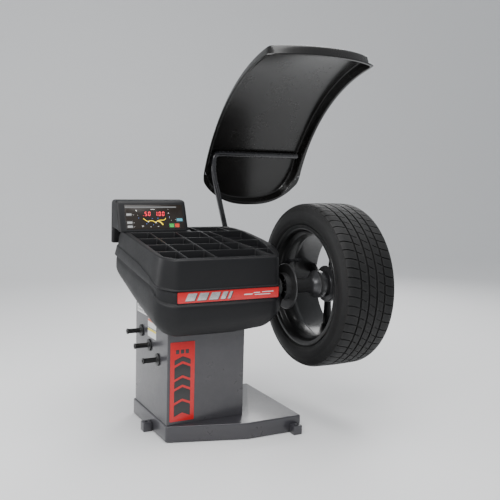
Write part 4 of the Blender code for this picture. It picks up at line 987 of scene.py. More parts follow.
# ==== cabinet
@dataclass
class Cabinet:
    """Base, column, feet, pegs and everything stuck on them.

    Attributes:
        shop: Where finished pieces go.
    """

    shop: Workshop

    def build(self) -> None:
        """Make every piece of the cabinet."""
        self.base()
        self.feet()
        self.column()
        self.pegs()
        self.badge()
        self.plates()
        self.fixings()

    def base(self) -> None:
        """Folded base with rounded corners and an open underside."""
        wall, bend, top = 0.004, 0.0065, BASE_HEIGHT
        corners = [(-0.006, -0.006), (0.328, -0.106), (0.59, -0.106), (0.59, 0.408), (-0.006, 0.408)]
        outline = rounded(corners, 0.011, 6)
        inner = inset(outline, wall)
        levels = [(inner, top - wall), (inner, 0.0042), (inset(outline, 0.0006), 0.004), (outline, 0.0052),
                  (outline, top - bend)]
        levels += [(inset(outline, bend * (1 - math.cos(a))), top - bend * (1 - math.sin(a)))
                   for a in spaced(0.25, math.pi / 2, 6)]
        rings = [[(x, y, z) for x, y in ring] for ring, z in levels]
        form = Form().rings(rings, first_cap=True, last_cap=True)
        self.shop.piece("base_plinth", form, "gunmetal_paint", replaces=["base_plate"])

    def feet(self) -> None:
        """Anchor feet with a bored and countersunk bolt hole."""
        places = {"anchor_foot_left": (-0.0264, 0.17), "anchor_foot_front": (0.553, -0.1264),
                  "anchor_foot_rear": (0.6104, 0.35)}
        half, height, hole = 0.02, 0.04, 0.007
        profile = [(-0.01, 0.0), (-0.01, hole), (height - 0.0018, hole), (height - 0.0005, 0.0085),
                   (height + 0.001, 0.01), (height + 0.001, 0.0)]
        for name, (x, y) in places.items():
            block = Form().box((x - half, y - half, 0.0), (x + half, y + half, height), 0.0022)
            bore = Form().turned(profile, 28, (0.0, 0.0))
            bore.turned_by(Matrix.Translation((x, y, 0.0)) @ Matrix.Rotation(-math.pi / 2, 4, "Y"))
            self.shop.piece(name + "_block", self.shop.cut(block, bore), "gunmetal_paint", replaces=[name])

    def column(self) -> None:
        """Bent sheet column with rounded corners, open at the back."""
        wall, fold, width, depth = 0.003, 0.022, COLUMN_WIDTH, COLUMN_DEPTH
        outer = rounded(rectangle((0.0, 0.0), (width, depth)), 0.0052, 6)
        inner = rounded(rectangle((wall, wall), (width - wall, depth - wall)), 0.003, 6)
        count = len(outer) // 4

        def top(y: float) -> float:
            """Height of the column's cut top edge."""
            return 0.548 + 0.112 * y / depth

        front = outer[count * 3 + 3:] + outer[:count * 3 - 3]
        back = inner[count * 3 + 3:] + inner[:count * 3 - 3]
        band = [(fold, depth), *front, (width - fold, depth), (width - fold, depth - wall),
                *reversed(back), (fold, depth - wall)]
        levels = [[(x, y, BASE_HEIGHT + 0.0004) for x, y in band], [(x, y, top(y)) for x, y in band]]
        form = Form().rings(levels, first_cap=True, last_cap=True)
        self.shop.piece("column_sheet", form, "gunmetal_paint", replaces=["column_shell"], angle=50.0)

    def pegs(self) -> None:
        """Cone pegs with a flange, a lip and a bored end."""
        places = {"cone_peg_upper": (0.314, 0.412), "cone_peg_middle": (0.213, 0.368),
                  "cone_peg_lower": (0.109, 0.328)}
        root, end = -0.0004, -0.07
        profile = [(root, 0.0), (root, 0.0262), (root - 0.0012, 0.0265), (-0.0048, 0.0265),
                   (-0.006, 0.0258), (-0.0064, 0.0245), (-0.0064, 0.0175), (-0.0068, 0.015),
                   (-0.0082, 0.0122), (-0.011, 0.0107), (-0.014, 0.0105), (end + 0.011, 0.0105),
                   (end + 0.0085, 0.0108), (end + 0.0066, 0.0118), (end + 0.0055, 0.0124),
                   (end + 0.0012, 0.0125), (end, 0.0118), (end, 0.007), (end + 0.0008, 0.0062),
                   (end + 0.02, 0.006), (end + 0.02, 0.0)]
        for name, centre in places.items():
            self.shop.piece(name + "_turned", Form().turned(profile, 48, centre), "hard_black",
                            slot="black_abs", replaces=[name], angle=32.0)

    def badge(self) -> None:
        """Blank badge: red film with plain chevrons and squares."""
        low, high, face = 0.086, 0.424, -0.0019
        outline = rounded(rectangle((0.012, low), (0.121, high)), 0.004, 5)
        self.shop.piece("badge_plate", Form().slab(outline, -0.0004, face, "y", 0.0003), "red_film",
                        replaces=["column_badge"])
        bands = Form()
        for low_z, rise in ((0.106, 0.05), (0.166, 0.05), (0.226, 0.03), (0.266, 0.05), (0.326, 0.022)):
            chevron = [(0.03, low_z), (0.0665, low_z + 0.016), (0.103, low_z), (0.103, low_z + rise),
                       (0.0665, low_z + rise + 0.016), (0.03, low_z + rise)]
            bands.slab(rounded(chevron, 0.0035, 4), face + 0.0001, face - 0.00012, "y", 0.00004)
        for x in (0.036, 0.0575, 0.079):
            square = rounded(rectangle((x, 0.374), (x + 0.015, 0.392)), 0.002, 4)
            bands.slab(square, face + 0.0001, face - 0.00012, "y", 0.00004)
        self.shop.piece("badge_chevrons", bands, "dark_film", slot="red_film")

    def plates(self) -> None:
        """Blank plates on the column's left face."""
        def tile(low: Pair, high: Pair, proud: float) -> Form:
            """One thin plate with rounded corners, on the left face."""
            return Form().slab(rounded(rectangle(low, high), 0.002, 4), -0.0001, -proud, "x", 0.00005)

        self.shop.piece("data_plate", tile((0.245, 0.49), (0.375, 0.56), 0.0005), "white_film",
                        slot="gunmetal_paint")
        fields = Form()
        for row in range(4):
            for low, high in ((0.252, 0.296), (0.304, 0.368)):
                bottom = 0.497 + row * 0.0145
                fields.join(tile((low, bottom), (high, bottom + 0.0095), 0.0007))
        self.shop.piece("data_plate_fields", fields, "silver_film", slot="gunmetal_paint")
        for name, low, finish in (("upper", 0.446, "orange_film"), ("lower", 0.405, "yellow_film")):
            self.shop.piece(f"label_{name}", tile((0.135, low), (0.236, low + 0.038), 0.0005), "white_film",
                            slot="gunmetal_paint")
            band = tile((0.137, low + 0.0265), (0.234, low + 0.0365), 0.0007)
            self.shop.piece(f"label_{name}_band", band, finish, slot="gunmetal_paint")

    def fixings(self) -> None:
        """Screws along the rear panel's edges."""
        form = Form()
        for z in spaced(0.11, 0.61, 5):
            for x in (0.012, COLUMN_WIDTH - 0.012):
                form.join(self.shop.screw((x, COLUMN_DEPTH + 0.0024, z), (0.0, 1.0, 0.0), 0.0042, 0.002))
        self.shop.piece("rear_panel_screws", form, "black_steel", slot="gunmetal_paint")


# ==== hood
@dataclass
class Hood:
    """Upper cover with its weight tray, lower cover and front strip.

    Attributes:
        shop: Where finished pieces go.
        wall: Thickness of the covers.
    """

    shop: Workshop
    wall: float = 0.004

    @staticmethod
    def cover_edge() -> list[Pair]:
        """Lower edge of the upper cover from above.

        Returns:
            Its corners.
        """
        return [(-0.008, -0.096), (0.23, -0.096), (0.47, -0.096), (0.528, 0.014), (0.555, 0.105),
                (0.562, 0.21), (0.56, 0.37), (0.54, 0.49), (0.49, 0.516), (-0.048, 0.516),
                (-0.077, 0.49), (-0.079, 0.2), (-0.077, 0.006), (-0.069, -0.042)]

    @staticmethod
    def tray_edge() -> list[Pair]:
        """Top edge of the upper cover from above, point for point with the lower edge.

        Returns:
            Its corners.
        """
        return [(-0.002, -0.088), (0.23, -0.088), (0.462, -0.088), (0.52, 0.02), (0.548, 0.11),
                (0.555, 0.21), (0.55, 0.365), (0.522, 0.462), (0.47, 0.492), (-0.03, 0.492),
                (-0.056, 0.462), (-0.058, 0.2), (-0.056, 0.02), (-0.05, -0.036)]

    @staticmethod
    def pockets() -> list[list[Pair]]:
        """Weight pockets from above.

        Returns:
            One outline for each pocket.
        """
        half, rib = 0.0045, 0.009
        rows = [-0.06 + 0.112 * row for row in range(5)]
        columns = [-0.034, 0.057, 0.184, 0.312]

        def slanted(y: float) -> float:
            """Where the slanting rib lies."""
            return 0.452 - 0.225 * (y - rows[0])

        def cell(low: float, high: float, left: float, right: Pair) -> list[Pair]:
            """A pocket with a straight left wall and a slanting right one."""
            return [(left, low), (right[0], low), (right[1], high), (left, high)]

        def split(low: float, high: float, shift: float) -> Pair:
            """Where the slanting rib, moved by a distance, meets the ends of a pocket."""
            return slanted(low) + shift, slanted(high) + shift

        outlines: list[list[Pair]] = []
        for row in (1, 2, 3):
            low, high = rows[row] + half, rows[row + 1] - half
            for number, start in enumerate(columns):
                begin = start + (half if number else 0.0)
                right = (columns[number + 1] - half,) * 2 if number < 3 else split(low, high, -half)
                outlines.append(cell(low, high, begin, right))
        low, high = rows[0], rows[1] - half
        outlines.append([(0.006, low), (columns[1] - half, low), (columns[1] - half, high),
                         (columns[0], high), (columns[0], low + 0.04)])
        outlines.append(cell(low, high, columns[1] + half, (columns[2] - half,) * 2))
        outlines.append(cell(low, high, columns[2] + half, split(low, high, -half)))
        outlines.append([(slanted(low) + half, low + 0.004), (0.468, low + 0.022), (0.488, high),
                         (slanted(high) + half, high)])
        for low, high, near, far in ((rows[1] + half, rows[2] + 0.04, 0.492, 0.522),
                                     (rows[2] + 0.04 + rib, rows[4] - half, 0.524, 0.526)):
            near_rib, far_rib = split(low, high, half)
            outlines.append([(near_rib, low), (near, low), (far, high), (far_rib, high)])
        low, high, shift = rows[4] + half, 0.47, -0.04
        outlines.append(cell(low, high, 0.27, split(low, high, shift - half)))
        near_rib, far_rib = split(low, high, shift + half)
        outlines.append([(near_rib, low), (0.455, low), (0.435, high), (far_rib, high)])
        outlines.append([(0.464, low), (0.524, low), (0.5, high - 0.012), (0.444, high)])
        return outlines

    def build(self) -> None:
        """Make the covers and the strip."""
        self.upper()
        self.lower()
        self.strip()

    def upper(self) -> None:
        """Upper cover, with rounded edges and rounded pockets."""
        corner, count = 0.026, 6
        low, top = rounded(self.cover_edge(), corner, count), rounded(self.tray_edge(), corner, count)
        middle = blend_rows(low, top, 0.65)
        edge = 0.0075

        def at_seam(outline: Sequence[Row], lift: float) -> list[Triple]:
            """Put an outline at the seam."""
            return [(x, y, seam(y) + lift) for x, y in outline]

        def at_tray(outline: Sequence[Row], lift: float) -> list[Triple]:
            """Put an outline at the tray."""
            return [(x, y, tray_top(y) + lift) for x, y in outline]

        rings = [at_tray(inset(top, self.wall + inward), lift)
                 for inward, lift in ((0.004, -0.038), (0.002, -0.043))]
        rings += [at_seam(inset(low, inward), lift)
                  for inward, lift in ((self.wall, 0.004), (self.wall - 0.001, 0.0006), (0.0022, 0.0),
                                       (0.0008, 0.0007), (0.0002, 0.0022))]

        def band(inward: float, above: float) -> list[Triple]:
            """A ring along the crease that runs from the seam in front to well above it at the back."""
            ring = []
            for one, two in zip(inset(low, inward), inset(top, inward)):
                step = min(1.0, max(0.0, (one[1] + 0.075) / 0.19))
                lift = 0.006 + 0.038 * step * step * (3 - 2 * step) + above
                height = tray_top(one[1]) - seam(one[1])
                x, y = blend_rows([one], [two], lift / height)[0]
                ring.append((x, y, seam(y) + lift))
            return ring

        rings += [band(inward, above)
                  for inward, above in ((0.0, -0.003), (0.0003, -0.0012), (0.0014, -0.0002),
                                        (0.0034, 0.0004), (0.004, 0.002), (0.0038, 0.008))]
        rings.append([(x, y, 0.3 * seam(y) + 0.7 * tray_top(y)) for x, y in inset(middle, 0.001)])
        rings.append(at_tray(top, -edge))
        rings += [at_tray(inset(top, edge * (1 - math.cos(a))), -edge * (1 - math.sin(a)))
                  for a in spaced(0.3, math.pi / 2, 6)]
        form = Form().rings(rings, first_cap=True)
        border = [Vector((x, y)) for x, y, _ in rings[-1]]
        holes = [rounded(outline, 0.008, 6) for outline in self.pockets()]
        self.face_with_holes(form, border, [inset(hole, -0.0016) for hole in holes])
        for hole in holes:
            self.pocket(form, hole)
        bmesh.ops.remove_doubles(form.bm, verts=form.bm.verts, dist=2e-6)
        self.shop.piece("hood_upper_cover", self.opened(form), "black_abs", replaces=["hood_upper"],
                        angle=34.0)

    @staticmethod
    def face_with_holes(form: Form, border: Sequence[Vector], holes: Sequence[Sequence[Row]]) -> None:
        """Fill the tray's flat top round the pockets.

        Args:
            form: The form that gets the faces.
            border: Outer border from above.
            holes: Borders of the pockets from above.
        """
        points = list(border)
        loops = [list(range(len(border)))]
        for hole in holes:
            start = len(points)
            points += [Vector(point) for point in hole]
            loops.append(list(range(start, len(points))))
        edges = [(loop[i], loop[(i + 1) % len(loop)]) for loop in loops for i in range(len(loop))]
        made, _, faces, _, _, _ = delaunay_2d_cdt(points, edges, [], 0, 1e-7)
        verts = [form.bm.verts.new((point.x, point.y, tray_top(point.y))) for point in made]
        outlines = [[tuple(points[i]) for i in loop] for loop in loops]
        for face in faces:
            centre = sum((made[i] for i in face), Vector((0.0, 0.0))) / len(face)
            if inside(tuple(centre), outlines[0]) and not any(inside(tuple(centre), o) for o in outlines[1:]):
                form.bm.faces.new([verts[i] for i in face])

    @staticmethod
    def pocket(form: Form, outline: Sequence[Row]) -> None:
        """Add a pocket's rounded rim, wall and floor.

        Args:
            form: The form that gets the faces.
            outline: The pocket's outline from above.
        """
        rim, draft, wall, bend = 0.0016, 0.0022, 0.029, 0.005
        levels = [(-rim + rim * math.sin(a), -rim + rim * math.cos(a)) for a in spaced(0.0, math.pi / 2, 5)]
        levels.append((draft, -wall))
        levels += [(draft + bend * math.sin(a) * 0.8, -wall - bend * (1 - math.cos(a)))
                   for a in spaced(0.5, math.pi / 2, 4)]
        rings = [[(x, y, tray_top(y) + lift) for x, y in inset(outline, distance)]
                 for distance, lift in levels]
        form.rings(rings, last_cap=True)

    def opened(self, form: Form) -> Form:
        """Cut the openings for the spindle and the gauge in the right wall.

        Args:
            form: A cover.

        Returns:
            The cover with its openings.
        """
        start, stop, hub, gauge = 0.48, 0.62, 0.0605, 0.011
        tool = Form().turned([(start, 0.0), (start, hub), (stop, hub), (stop, 0.0)], 64)
        slot = [(start, 0.0), (start, gauge), (stop, gauge), (stop, 0.0)]
        tool.join(Form().turned(slot, 32, (0.17, 0.668)))
        return self.shop.cut(form, tool)

    def lower(self) -> None:
        """Lower cover with its big rounded belly."""
        gap, count = 0.003, 6
        edge = rounded(self.cover_edge(), 0.036, count)
        bulge = rounded([(-0.01, -0.098), (0.23, -0.102), (0.462, -0.098), (0.54, 0.0), (0.556, 0.1),
                         (0.562, 0.21), (0.56, 0.37), (0.54, 0.48), (0.48, 0.512), (-0.04, 0.512),
                         (-0.074, 0.48), (-0.08, 0.2), (-0.078, 0.0), (-0.068, -0.044)], 0.04, count)
        floor = rounded([(0.0, -0.072), (0.22, -0.074), (0.42, -0.07), (0.505, 0.02), (0.515, 0.11),
                         (0.515, 0.21), (0.505, 0.33), (0.48, 0.4), (0.43, 0.425), (0.0, 0.425),
                         (-0.03, 0.4), (-0.044, 0.2), (-0.042, 0.02), (-0.034, -0.036)], 0.036, count)
        drop = self.spread_over([1.0] * 3 + [0.7] + [0.12] * 9 + [0.9], count)
        top = inset(edge, 0.009)

        lip = [[(x, y, seam(y) - gap - lift) for x, y in inset(top, distance)]
               for distance, lift in ((self.wall, 0.012), (self.wall, 0.001), (0.003, 0.0), (0.0012, 0.0005),
                                      (0.0003, 0.0018))]
        low = [(x, y, belly_low(x, y)) for x, y in floor]
        side = softened([[(x, y, seam(y) - gap - 0.05 * d) for (x, y), d in zip(top, drop)],
                         [(x, y, seam(y) - gap - 0.014 - 0.046 * d) for (x, y), d in zip(bulge, drop)],
                         [(x, y, belly_low(x, y) + 0.045) for x, y in bulge], low], [0.3, 0.42], 7)
        centre = [(x, y, belly_low(x, y)) for x, y in inset(floor, 0.03)]
        tail = softened([side[-2], low, centre], [0.42], 7)
        form = Form().rings([*lip, *side[:-1], *tail[1:]], first_cap=True, last_cap=True)
        column = Form().box((-0.002, -0.002, 0.4), (COLUMN_WIDTH + 0.002, COLUMN_DEPTH + 0.006, 0.6305))
        form = self.shop.cut(form, column)
        self.shop.piece("hood_lower_cover", self.opened(form), "black_abs", replaces=["hood_lower"],
                        angle=32.0)

    @staticmethod
    def spread_over(values: Sequence[float], count: int) -> list[float]:
        """Spread one value per corner over a rounded outline's points.

        Args:
            values: A value for each corner.
            count: Points that each corner became.

        Returns:
            A value for each point.
        """
        result: list[float] = []
        for index, here in enumerate(values):
            before, after = values[index - 1], values[(index + 1) % len(values)]
            ends = (here + (before - here) * 0.45, here + (after - here) * 0.45)
            result += [value for value, in curve((ends[0],), (here,), (ends[1],), count)]
        return result

    def strip(self) -> None:
        """Blank red front strip with plain slanted bars and thin lines."""
        left, right, low, high, back = 0.004, 0.466, 0.603, 0.648, -0.0874
        face = back - 0.002
        outline = rounded(rectangle((left, low), (right, high)), 0.004, 5)
        self.shop.piece("front_strip_film", Form().slab(outline, back, face, "y", 0.0005), "red_film",
                        replaces=["front_strip"])
        silver, dark, thin = Form(), Form(), Form()

        def bar(form: Form, start: float, width: float, bottom: float, top: float, lift: float) -> None:
            """Add one slanted bar."""
            lean = (top - bottom) * 0.45
            band = [(start, bottom), (start + width, bottom), (start + width + lean, top),
                    (start + lean, top)]
            form.slab(rounded(band, 0.0025, 4), face + 0.0001, face - lift, "y", 0.00004)

        for start, width in ((0.036, 0.04), (0.088, 0.04), (0.14, 0.04), (0.192, 0.022), (0.224, 0.012)):
            bar(dark, start + 0.0022, width + 0.001, 0.6095, 0.6405, 0.0001)
            bar(silver, start, width, 0.6115, 0.6415, 0.00022)
        for start, width, bottom, top in ((0.3, 0.04, 0.6215, 0.626), (0.345, 0.03, 0.627, 0.631),
                                          (0.35, 0.075, 0.619, 0.6225), (0.385, 0.055, 0.629, 0.6325)):
            bar(thin, start, width, bottom, top, 0.00016)
        self.shop.piece("front_strip_shadow_bars", dark, "dark_film", slot="red_film")
        self.shop.piece("front_strip_bars", silver, "silver_film", slot="red_film")
        self.shop.piece("front_strip_lines", thin, "white_film", slot="red_film")


# ==== console
@dataclass(frozen=True)
class Key:
    """One key, measured on the console's face.

    Attributes:
        x: Its centre across.
        z: Its centre above the face's foot.
        width: Its width.
        height: Its height.
        finish: Name of its finish.
    """

    x: float
    z: float
    width: float
    height: float
    finish: str

    def outline(self, margin: float = 0.0) -> list[Pair]:
        """Corners of the key, or of a frame round it.

        Args:
            margin: How far outside the key.

        Returns:
            The corners.
        """
        half, tall = self.width / 2 + margin, self.height / 2 + margin
        return rectangle((self.x - half, self.z - tall), (self.x + half, self.z + tall))


KEYS = {
    "menu_key_upper": Key(-0.026, 0.082, 0.024, 0.01, "key_grey"),
    "menu_key_middle": Key(-0.026, 0.044, 0.024, 0.01, "key_grey"),
    "menu_key_lower": Key(-0.026, 0.025, 0.024, 0.01, "key_grey"),
    "start_key": Key(0.175, 0.028, 0.021, 0.017, "key_green"),
    "stop_key": Key(0.202, 0.028, 0.021, 0.017, "key_red"),
    "function_key": Key(0.217, 0.055, 0.028, 0.013, "key_cyan"),
}


@dataclass
class Console:
    """Tilted display console with its panel, its picture and its keys.

    Attributes:
        shop: Where finished pieces go.
        foot: Where the face meets the tray, as y and z.
        tilt: Tilt of the face backwards, in radians.
        panel_low: Lower left corner of the panel on the face.
        panel_high: Upper right corner of the panel on the face.
    """

    shop: Workshop
    foot: Pair = (0.4, tray_top(0.4) + 0.0004)
    tilt: float = math.radians(20.6)
    panel_low: Pair = (-0.044, 0.012)
    panel_high: Pair = (0.237, 0.128)

    def face(self) -> Matrix:
        """Matrix from the face's own coordinates to the machine's.

        Returns:
            The matrix.
        """
        return Matrix.Translation((0.0, *self.foot)) @ Matrix.Rotation(-self.tilt, 4, "X")

    def build(self) -> None:
        """Make the console."""
        self.housing()
        self.panel()
        self.keys()
        self.picture()

    def area(self, margin: float, radius: float, steps: int) -> list[Row]:
        """Outline of the panel, or of a hole for it.

        Args:
            margin: How far outside the panel.
            radius: Radius of the corners.
            steps: Points round each corner.

        Returns:
            The outline.
        """
        low = (self.panel_low[0] - margin, self.panel_low[1] - margin)
        high = (self.panel_high[0] + margin, self.panel_high[1] + margin)
        return rounded(rectangle(low, high), radius, steps)

    def housing(self) -> None:
        """Housing with rounded edges and a sunk seat for the panel."""
        head = (self.foot[0] + 0.15 * math.sin(self.tilt), self.foot[1] + 0.15 * math.cos(self.tilt))
        corners = [self.foot, (0.4945, tray_top(0.4945) + 0.0004), (0.511, 0.786), (0.526, 0.786),
                   (0.523, head[1] - 0.012), (0.508, head[1] + 0.003), head]
        profile = self.corner_rounds(corners, (0.004, 0.004, 0.006, 0.007, 0.014, 0.016, 0.017))
        edge, left, right = 0.014, -0.08, 0.256
        turns = spaced(0.0, math.pi / 2, 7)
        sides = [(left + edge * (1 - math.cos(a)), a) for a in turns]
        sides += [(right - edge * (1 - math.cos(a)), a) for a in reversed(turns)]
        rings = [[(x, *point) for point in inset(profile, edge * (1 - math.sin(a)) * 0.55)] for x, a in sides]
        form = Form().rings(rings, first_cap=True, last_cap=True)
        for margin, radius, steps, depth in ((0.0005, 0.004, 5, 0.0052), (-0.004, 0.003, 4, 0.03)):
            hole = Form().slab(self.area(margin, radius, steps), depth, -0.03, "y")
            form = self.shop.cut(form, hole.turned_by(self.face()))
        self.shop.piece("console_case", form, "black_abs", replaces=["console_housing"], angle=30.0)

    @staticmethod
    def corner_rounds(corners: Sequence[Pair], radii: Sequence[float]) -> list[Row]:
        """Round each corner by its own radius.

        Args:
            corners: Corners of the outline.
            radii: One radius for each corner.

        Returns:
            The rounded outline.
        """
        steps = 7
        smooth: list[Row] = []
        for index, radius in enumerate(radii):
            smooth += rounded(corners, radius, steps)[index * steps:(index + 1) * steps]
        return smooth

    def panel(self) -> None:
        """Dark panel with a window for each key."""
        tool = Form()
        for key in KEYS.values():
            tool.join(Form().slab(rounded(key.outline(0.0005), 0.0022, 4), 0.01, -0.01, "y"))
        form = Form().slab(self.area(0.0, 0.0035, 5), 0.0045, 0.0, "y", 0.0008)
        form = self.shop.cut(form, tool).turned_by(self.face())
        self.shop.piece("display_panel_front", form, "screen", slot="gloss_black", replaces=["display_panel"])

    def keys(self) -> None:
        """Key caps with dished tops."""
        levels = [(0.0, 0.004), (0.0, -0.0004), (0.0003, -0.0009), (0.0008, -0.0012), (0.0016, -0.0011),
                  (0.0026, -0.0008)]
        for name, key in KEYS.items():
            outline = rounded(key.outline(), 0.002, 5)
            rings = [[(a, depth, b) for a, b in inset(outline, move)] for move, depth in levels]
            form = Form().rings(rings, first_cap=True, last_cap=True).turned_by(self.face())
            self.shop.piece(f"{name}_cap", form, key.finish, f"{name}_body", replaces=[name], angle=60.0)

    @staticmethod
    def bar(form: Form, low: Pair, high: Pair) -> None:
        """Add a thin printed bar on the panel.

        Args:
            form: The form that gets it.
            low: Lower left corner on the face.
            high: Upper right corner on the face.
        """
        form.box((low[0], -0.00014, low[1]), (high[0], PRINT_ROOT, high[1]))

    @staticmethod
    def digit(form: Form, x: float, z: float, segments: str) -> None:
        """Add one seven-segment digit.

        Args:
            form: The form that gets it.
            x: Left edge.
            z: Lower edge.
            segments: Letters a to g of the lit segments.
        """
        size = 0.0205
        width, thick = size * 0.52, size * 0.13
        half = size / 2
        spans = {
            "a": ((thick, size - thick), (width - thick, size)), "d": ((thick, 0.0), (width - thick, thick)),
            "g": ((thick, half - thick / 2), (width - thick, half + thick / 2)),
            "f": ((0.0, half + thick * 0.4), (thick, size - thick * 0.6)),
            "b": ((width - thick, half + thick * 0.4), (width, size - thick * 0.6)),
            "e": ((0.0, thick * 0.6), (thick, half - thick * 0.4)),
            "c": ((width - thick, thick * 0.6), (width, half - thick * 0.4)),
        }
        for letter in segments:
            lean = [(x + a + b * 0.1, z + b) for a, b in rectangle(*spans[letter])]
            form.slab(rounded(lean, thick * 0.45, 3), PRINT_ROOT, -0.00016, "y")

    def picture(self) -> None:
        """What the panel shows: digits, a wheel section, lamps and a pale border."""
        digits = Form()
        lit = {"0": "abcdef", "1": "bc", "5": "acdfg"}
        for x, figure in ((0.048, "5"), (0.065, "0"), (0.098, "1"), (0.116, "0"), (0.133, "0")):
            self.digit(digits, x, 0.0745, lit[figure])
        for x in (0.0435, 0.113):
            self.spot(digits, x, 0.076, 0.0013)
        border = Form()
        self.bar(border, (-0.041, 0.1135), (0.207, 0.12))
        yellow = Form()
        section = [(0.04, 0.0635), (0.046, 0.0575), (0.055, 0.051), (0.063, 0.049), (0.072, 0.0525),
                   (0.084, 0.052), (0.093, 0.046), (0.1, 0.045), (0.108, 0.0515), (0.122, 0.0545),
                   (0.136, 0.0535), (0.144, 0.057), (0.149, 0.0635)]
        self.ribbon(yellow, section, 0.0015)
        self.ribbon(yellow, [(0.11, 0.051), (0.119, 0.0465), (0.127, 0.0395), (0.133, 0.032)], 0.0027)
        white = Form()
        for x, z, radius in ((0.063, 0.048, 0.0027), (0.099, 0.043, 0.0027), (0.0094, 0.1015, 0.0024),
                             (0.0118, 0.0985, 0.0018), (0.165, 0.0878, 0.002)):
            self.spot(white, x, z, radius)
        for x, z, width in ((0.03, 0.027, 0.01), (0.03, 0.0235, 0.005), (0.07, 0.022, 0.005),
                            (0.106, 0.0235, 0.006), (0.08, 0.1055, 0.02), (0.013, 0.078, 0.0024),
                            (0.164, 0.105, 0.0024), (0.166, 0.064, 0.0028), (0.174, 0.052, 0.0024)):
            self.bar(white, (x, z), (x + width, z + 0.0014))
        for x, z in ((-0.008, 0.0805), (-0.008, 0.0425), (-0.008, 0.0235), (0.195, 0.0545)):
            self.bar(white, (x, z), (x + 0.0042, z + 0.0011))
        blue = Form()
        for x, z in ((0.083, 0.0625), (0.111, 0.0635), (0.018, 0.0655), (0.168, 0.07), (0.054, 0.0375),
                     (0.086, 0.033)):
            self.spot(blue, x, z, 0.0014)
        frames = Form()
        line = 0.0005
        for key in KEYS.values():
            (left, low), _, (right, high), _ = key.outline(0.0028)
            self.bar(frames, (left, low), (right, low + line))
            self.bar(frames, (left, high - line), (right, high))
            self.bar(frames, (left, low + line), (left + line, high - line))
            self.bar(frames, (right - line, low + line), (right, high - line))
        for name, form, finish in (("digits", digits, "lit_red"), ("border", border, "screen_edge"),
                                   ("section", yellow, "lit_yellow"), ("spots", white, "lit_white"),
                                   ("lamps", blue, "lit_blue"), ("key_frames", frames, "screen_edge")):
            self.shop.piece(f"display_{name}", form.turned_by(self.face()), finish, slot="gloss_black")

    @staticmethod
    def spot(form: Form, x: float, z: float, radius: float) -> None:
        """Add a round printed spot.

        Args:
            form: The form that gets it.
            x: Its centre across.
            z: Its centre up.
            radius: Its radius.
        """
        ring = [(x + radius * math.cos(2 * math.pi * k / 20), z + radius * math.sin(2 * math.pi * k / 20))
                for k in range(20)]
        form.slab(ring, PRINT_ROOT, -0.00022, "y")

    @staticmethod
    def ribbon(form: Form, line: Sequence[Pair], half: float) -> None:
        """Add a printed line of even width.

        Args:
            form: The form that gets it.
            line: Its points.
            half: Half its width.
        """
        smooth = [line[0]]
        for before, here, after in zip(line, line[1:], line[2:]):
            start = tuple(h + (b - h) * 0.4 for h, b in zip(here, before))
            stop = tuple(h + (a - h) * 0.4 for h, a in zip(here, after))
            smooth += curve(start, here, stop, 4)
        smooth.append(line[-1])
        rings = []
        for index, point in enumerate(smooth):
            ahead = Vector(smooth[min(index + 1, len(smooth) - 1)]) - Vector(smooth[max(index - 1, 0)])
            side = Vector((-ahead.y, ahead.x)).normalized() * half
            rings.append([(point[0] + s * side.x, depth, point[1] + s * side.y)
                          for s, depth in ((1, PRINT_ROOT), (1, -0.00014), (-1, -0.00014), (-1, PRINT_ROOT))])
        form.rings(rings, first_cap=True, last_cap=True)


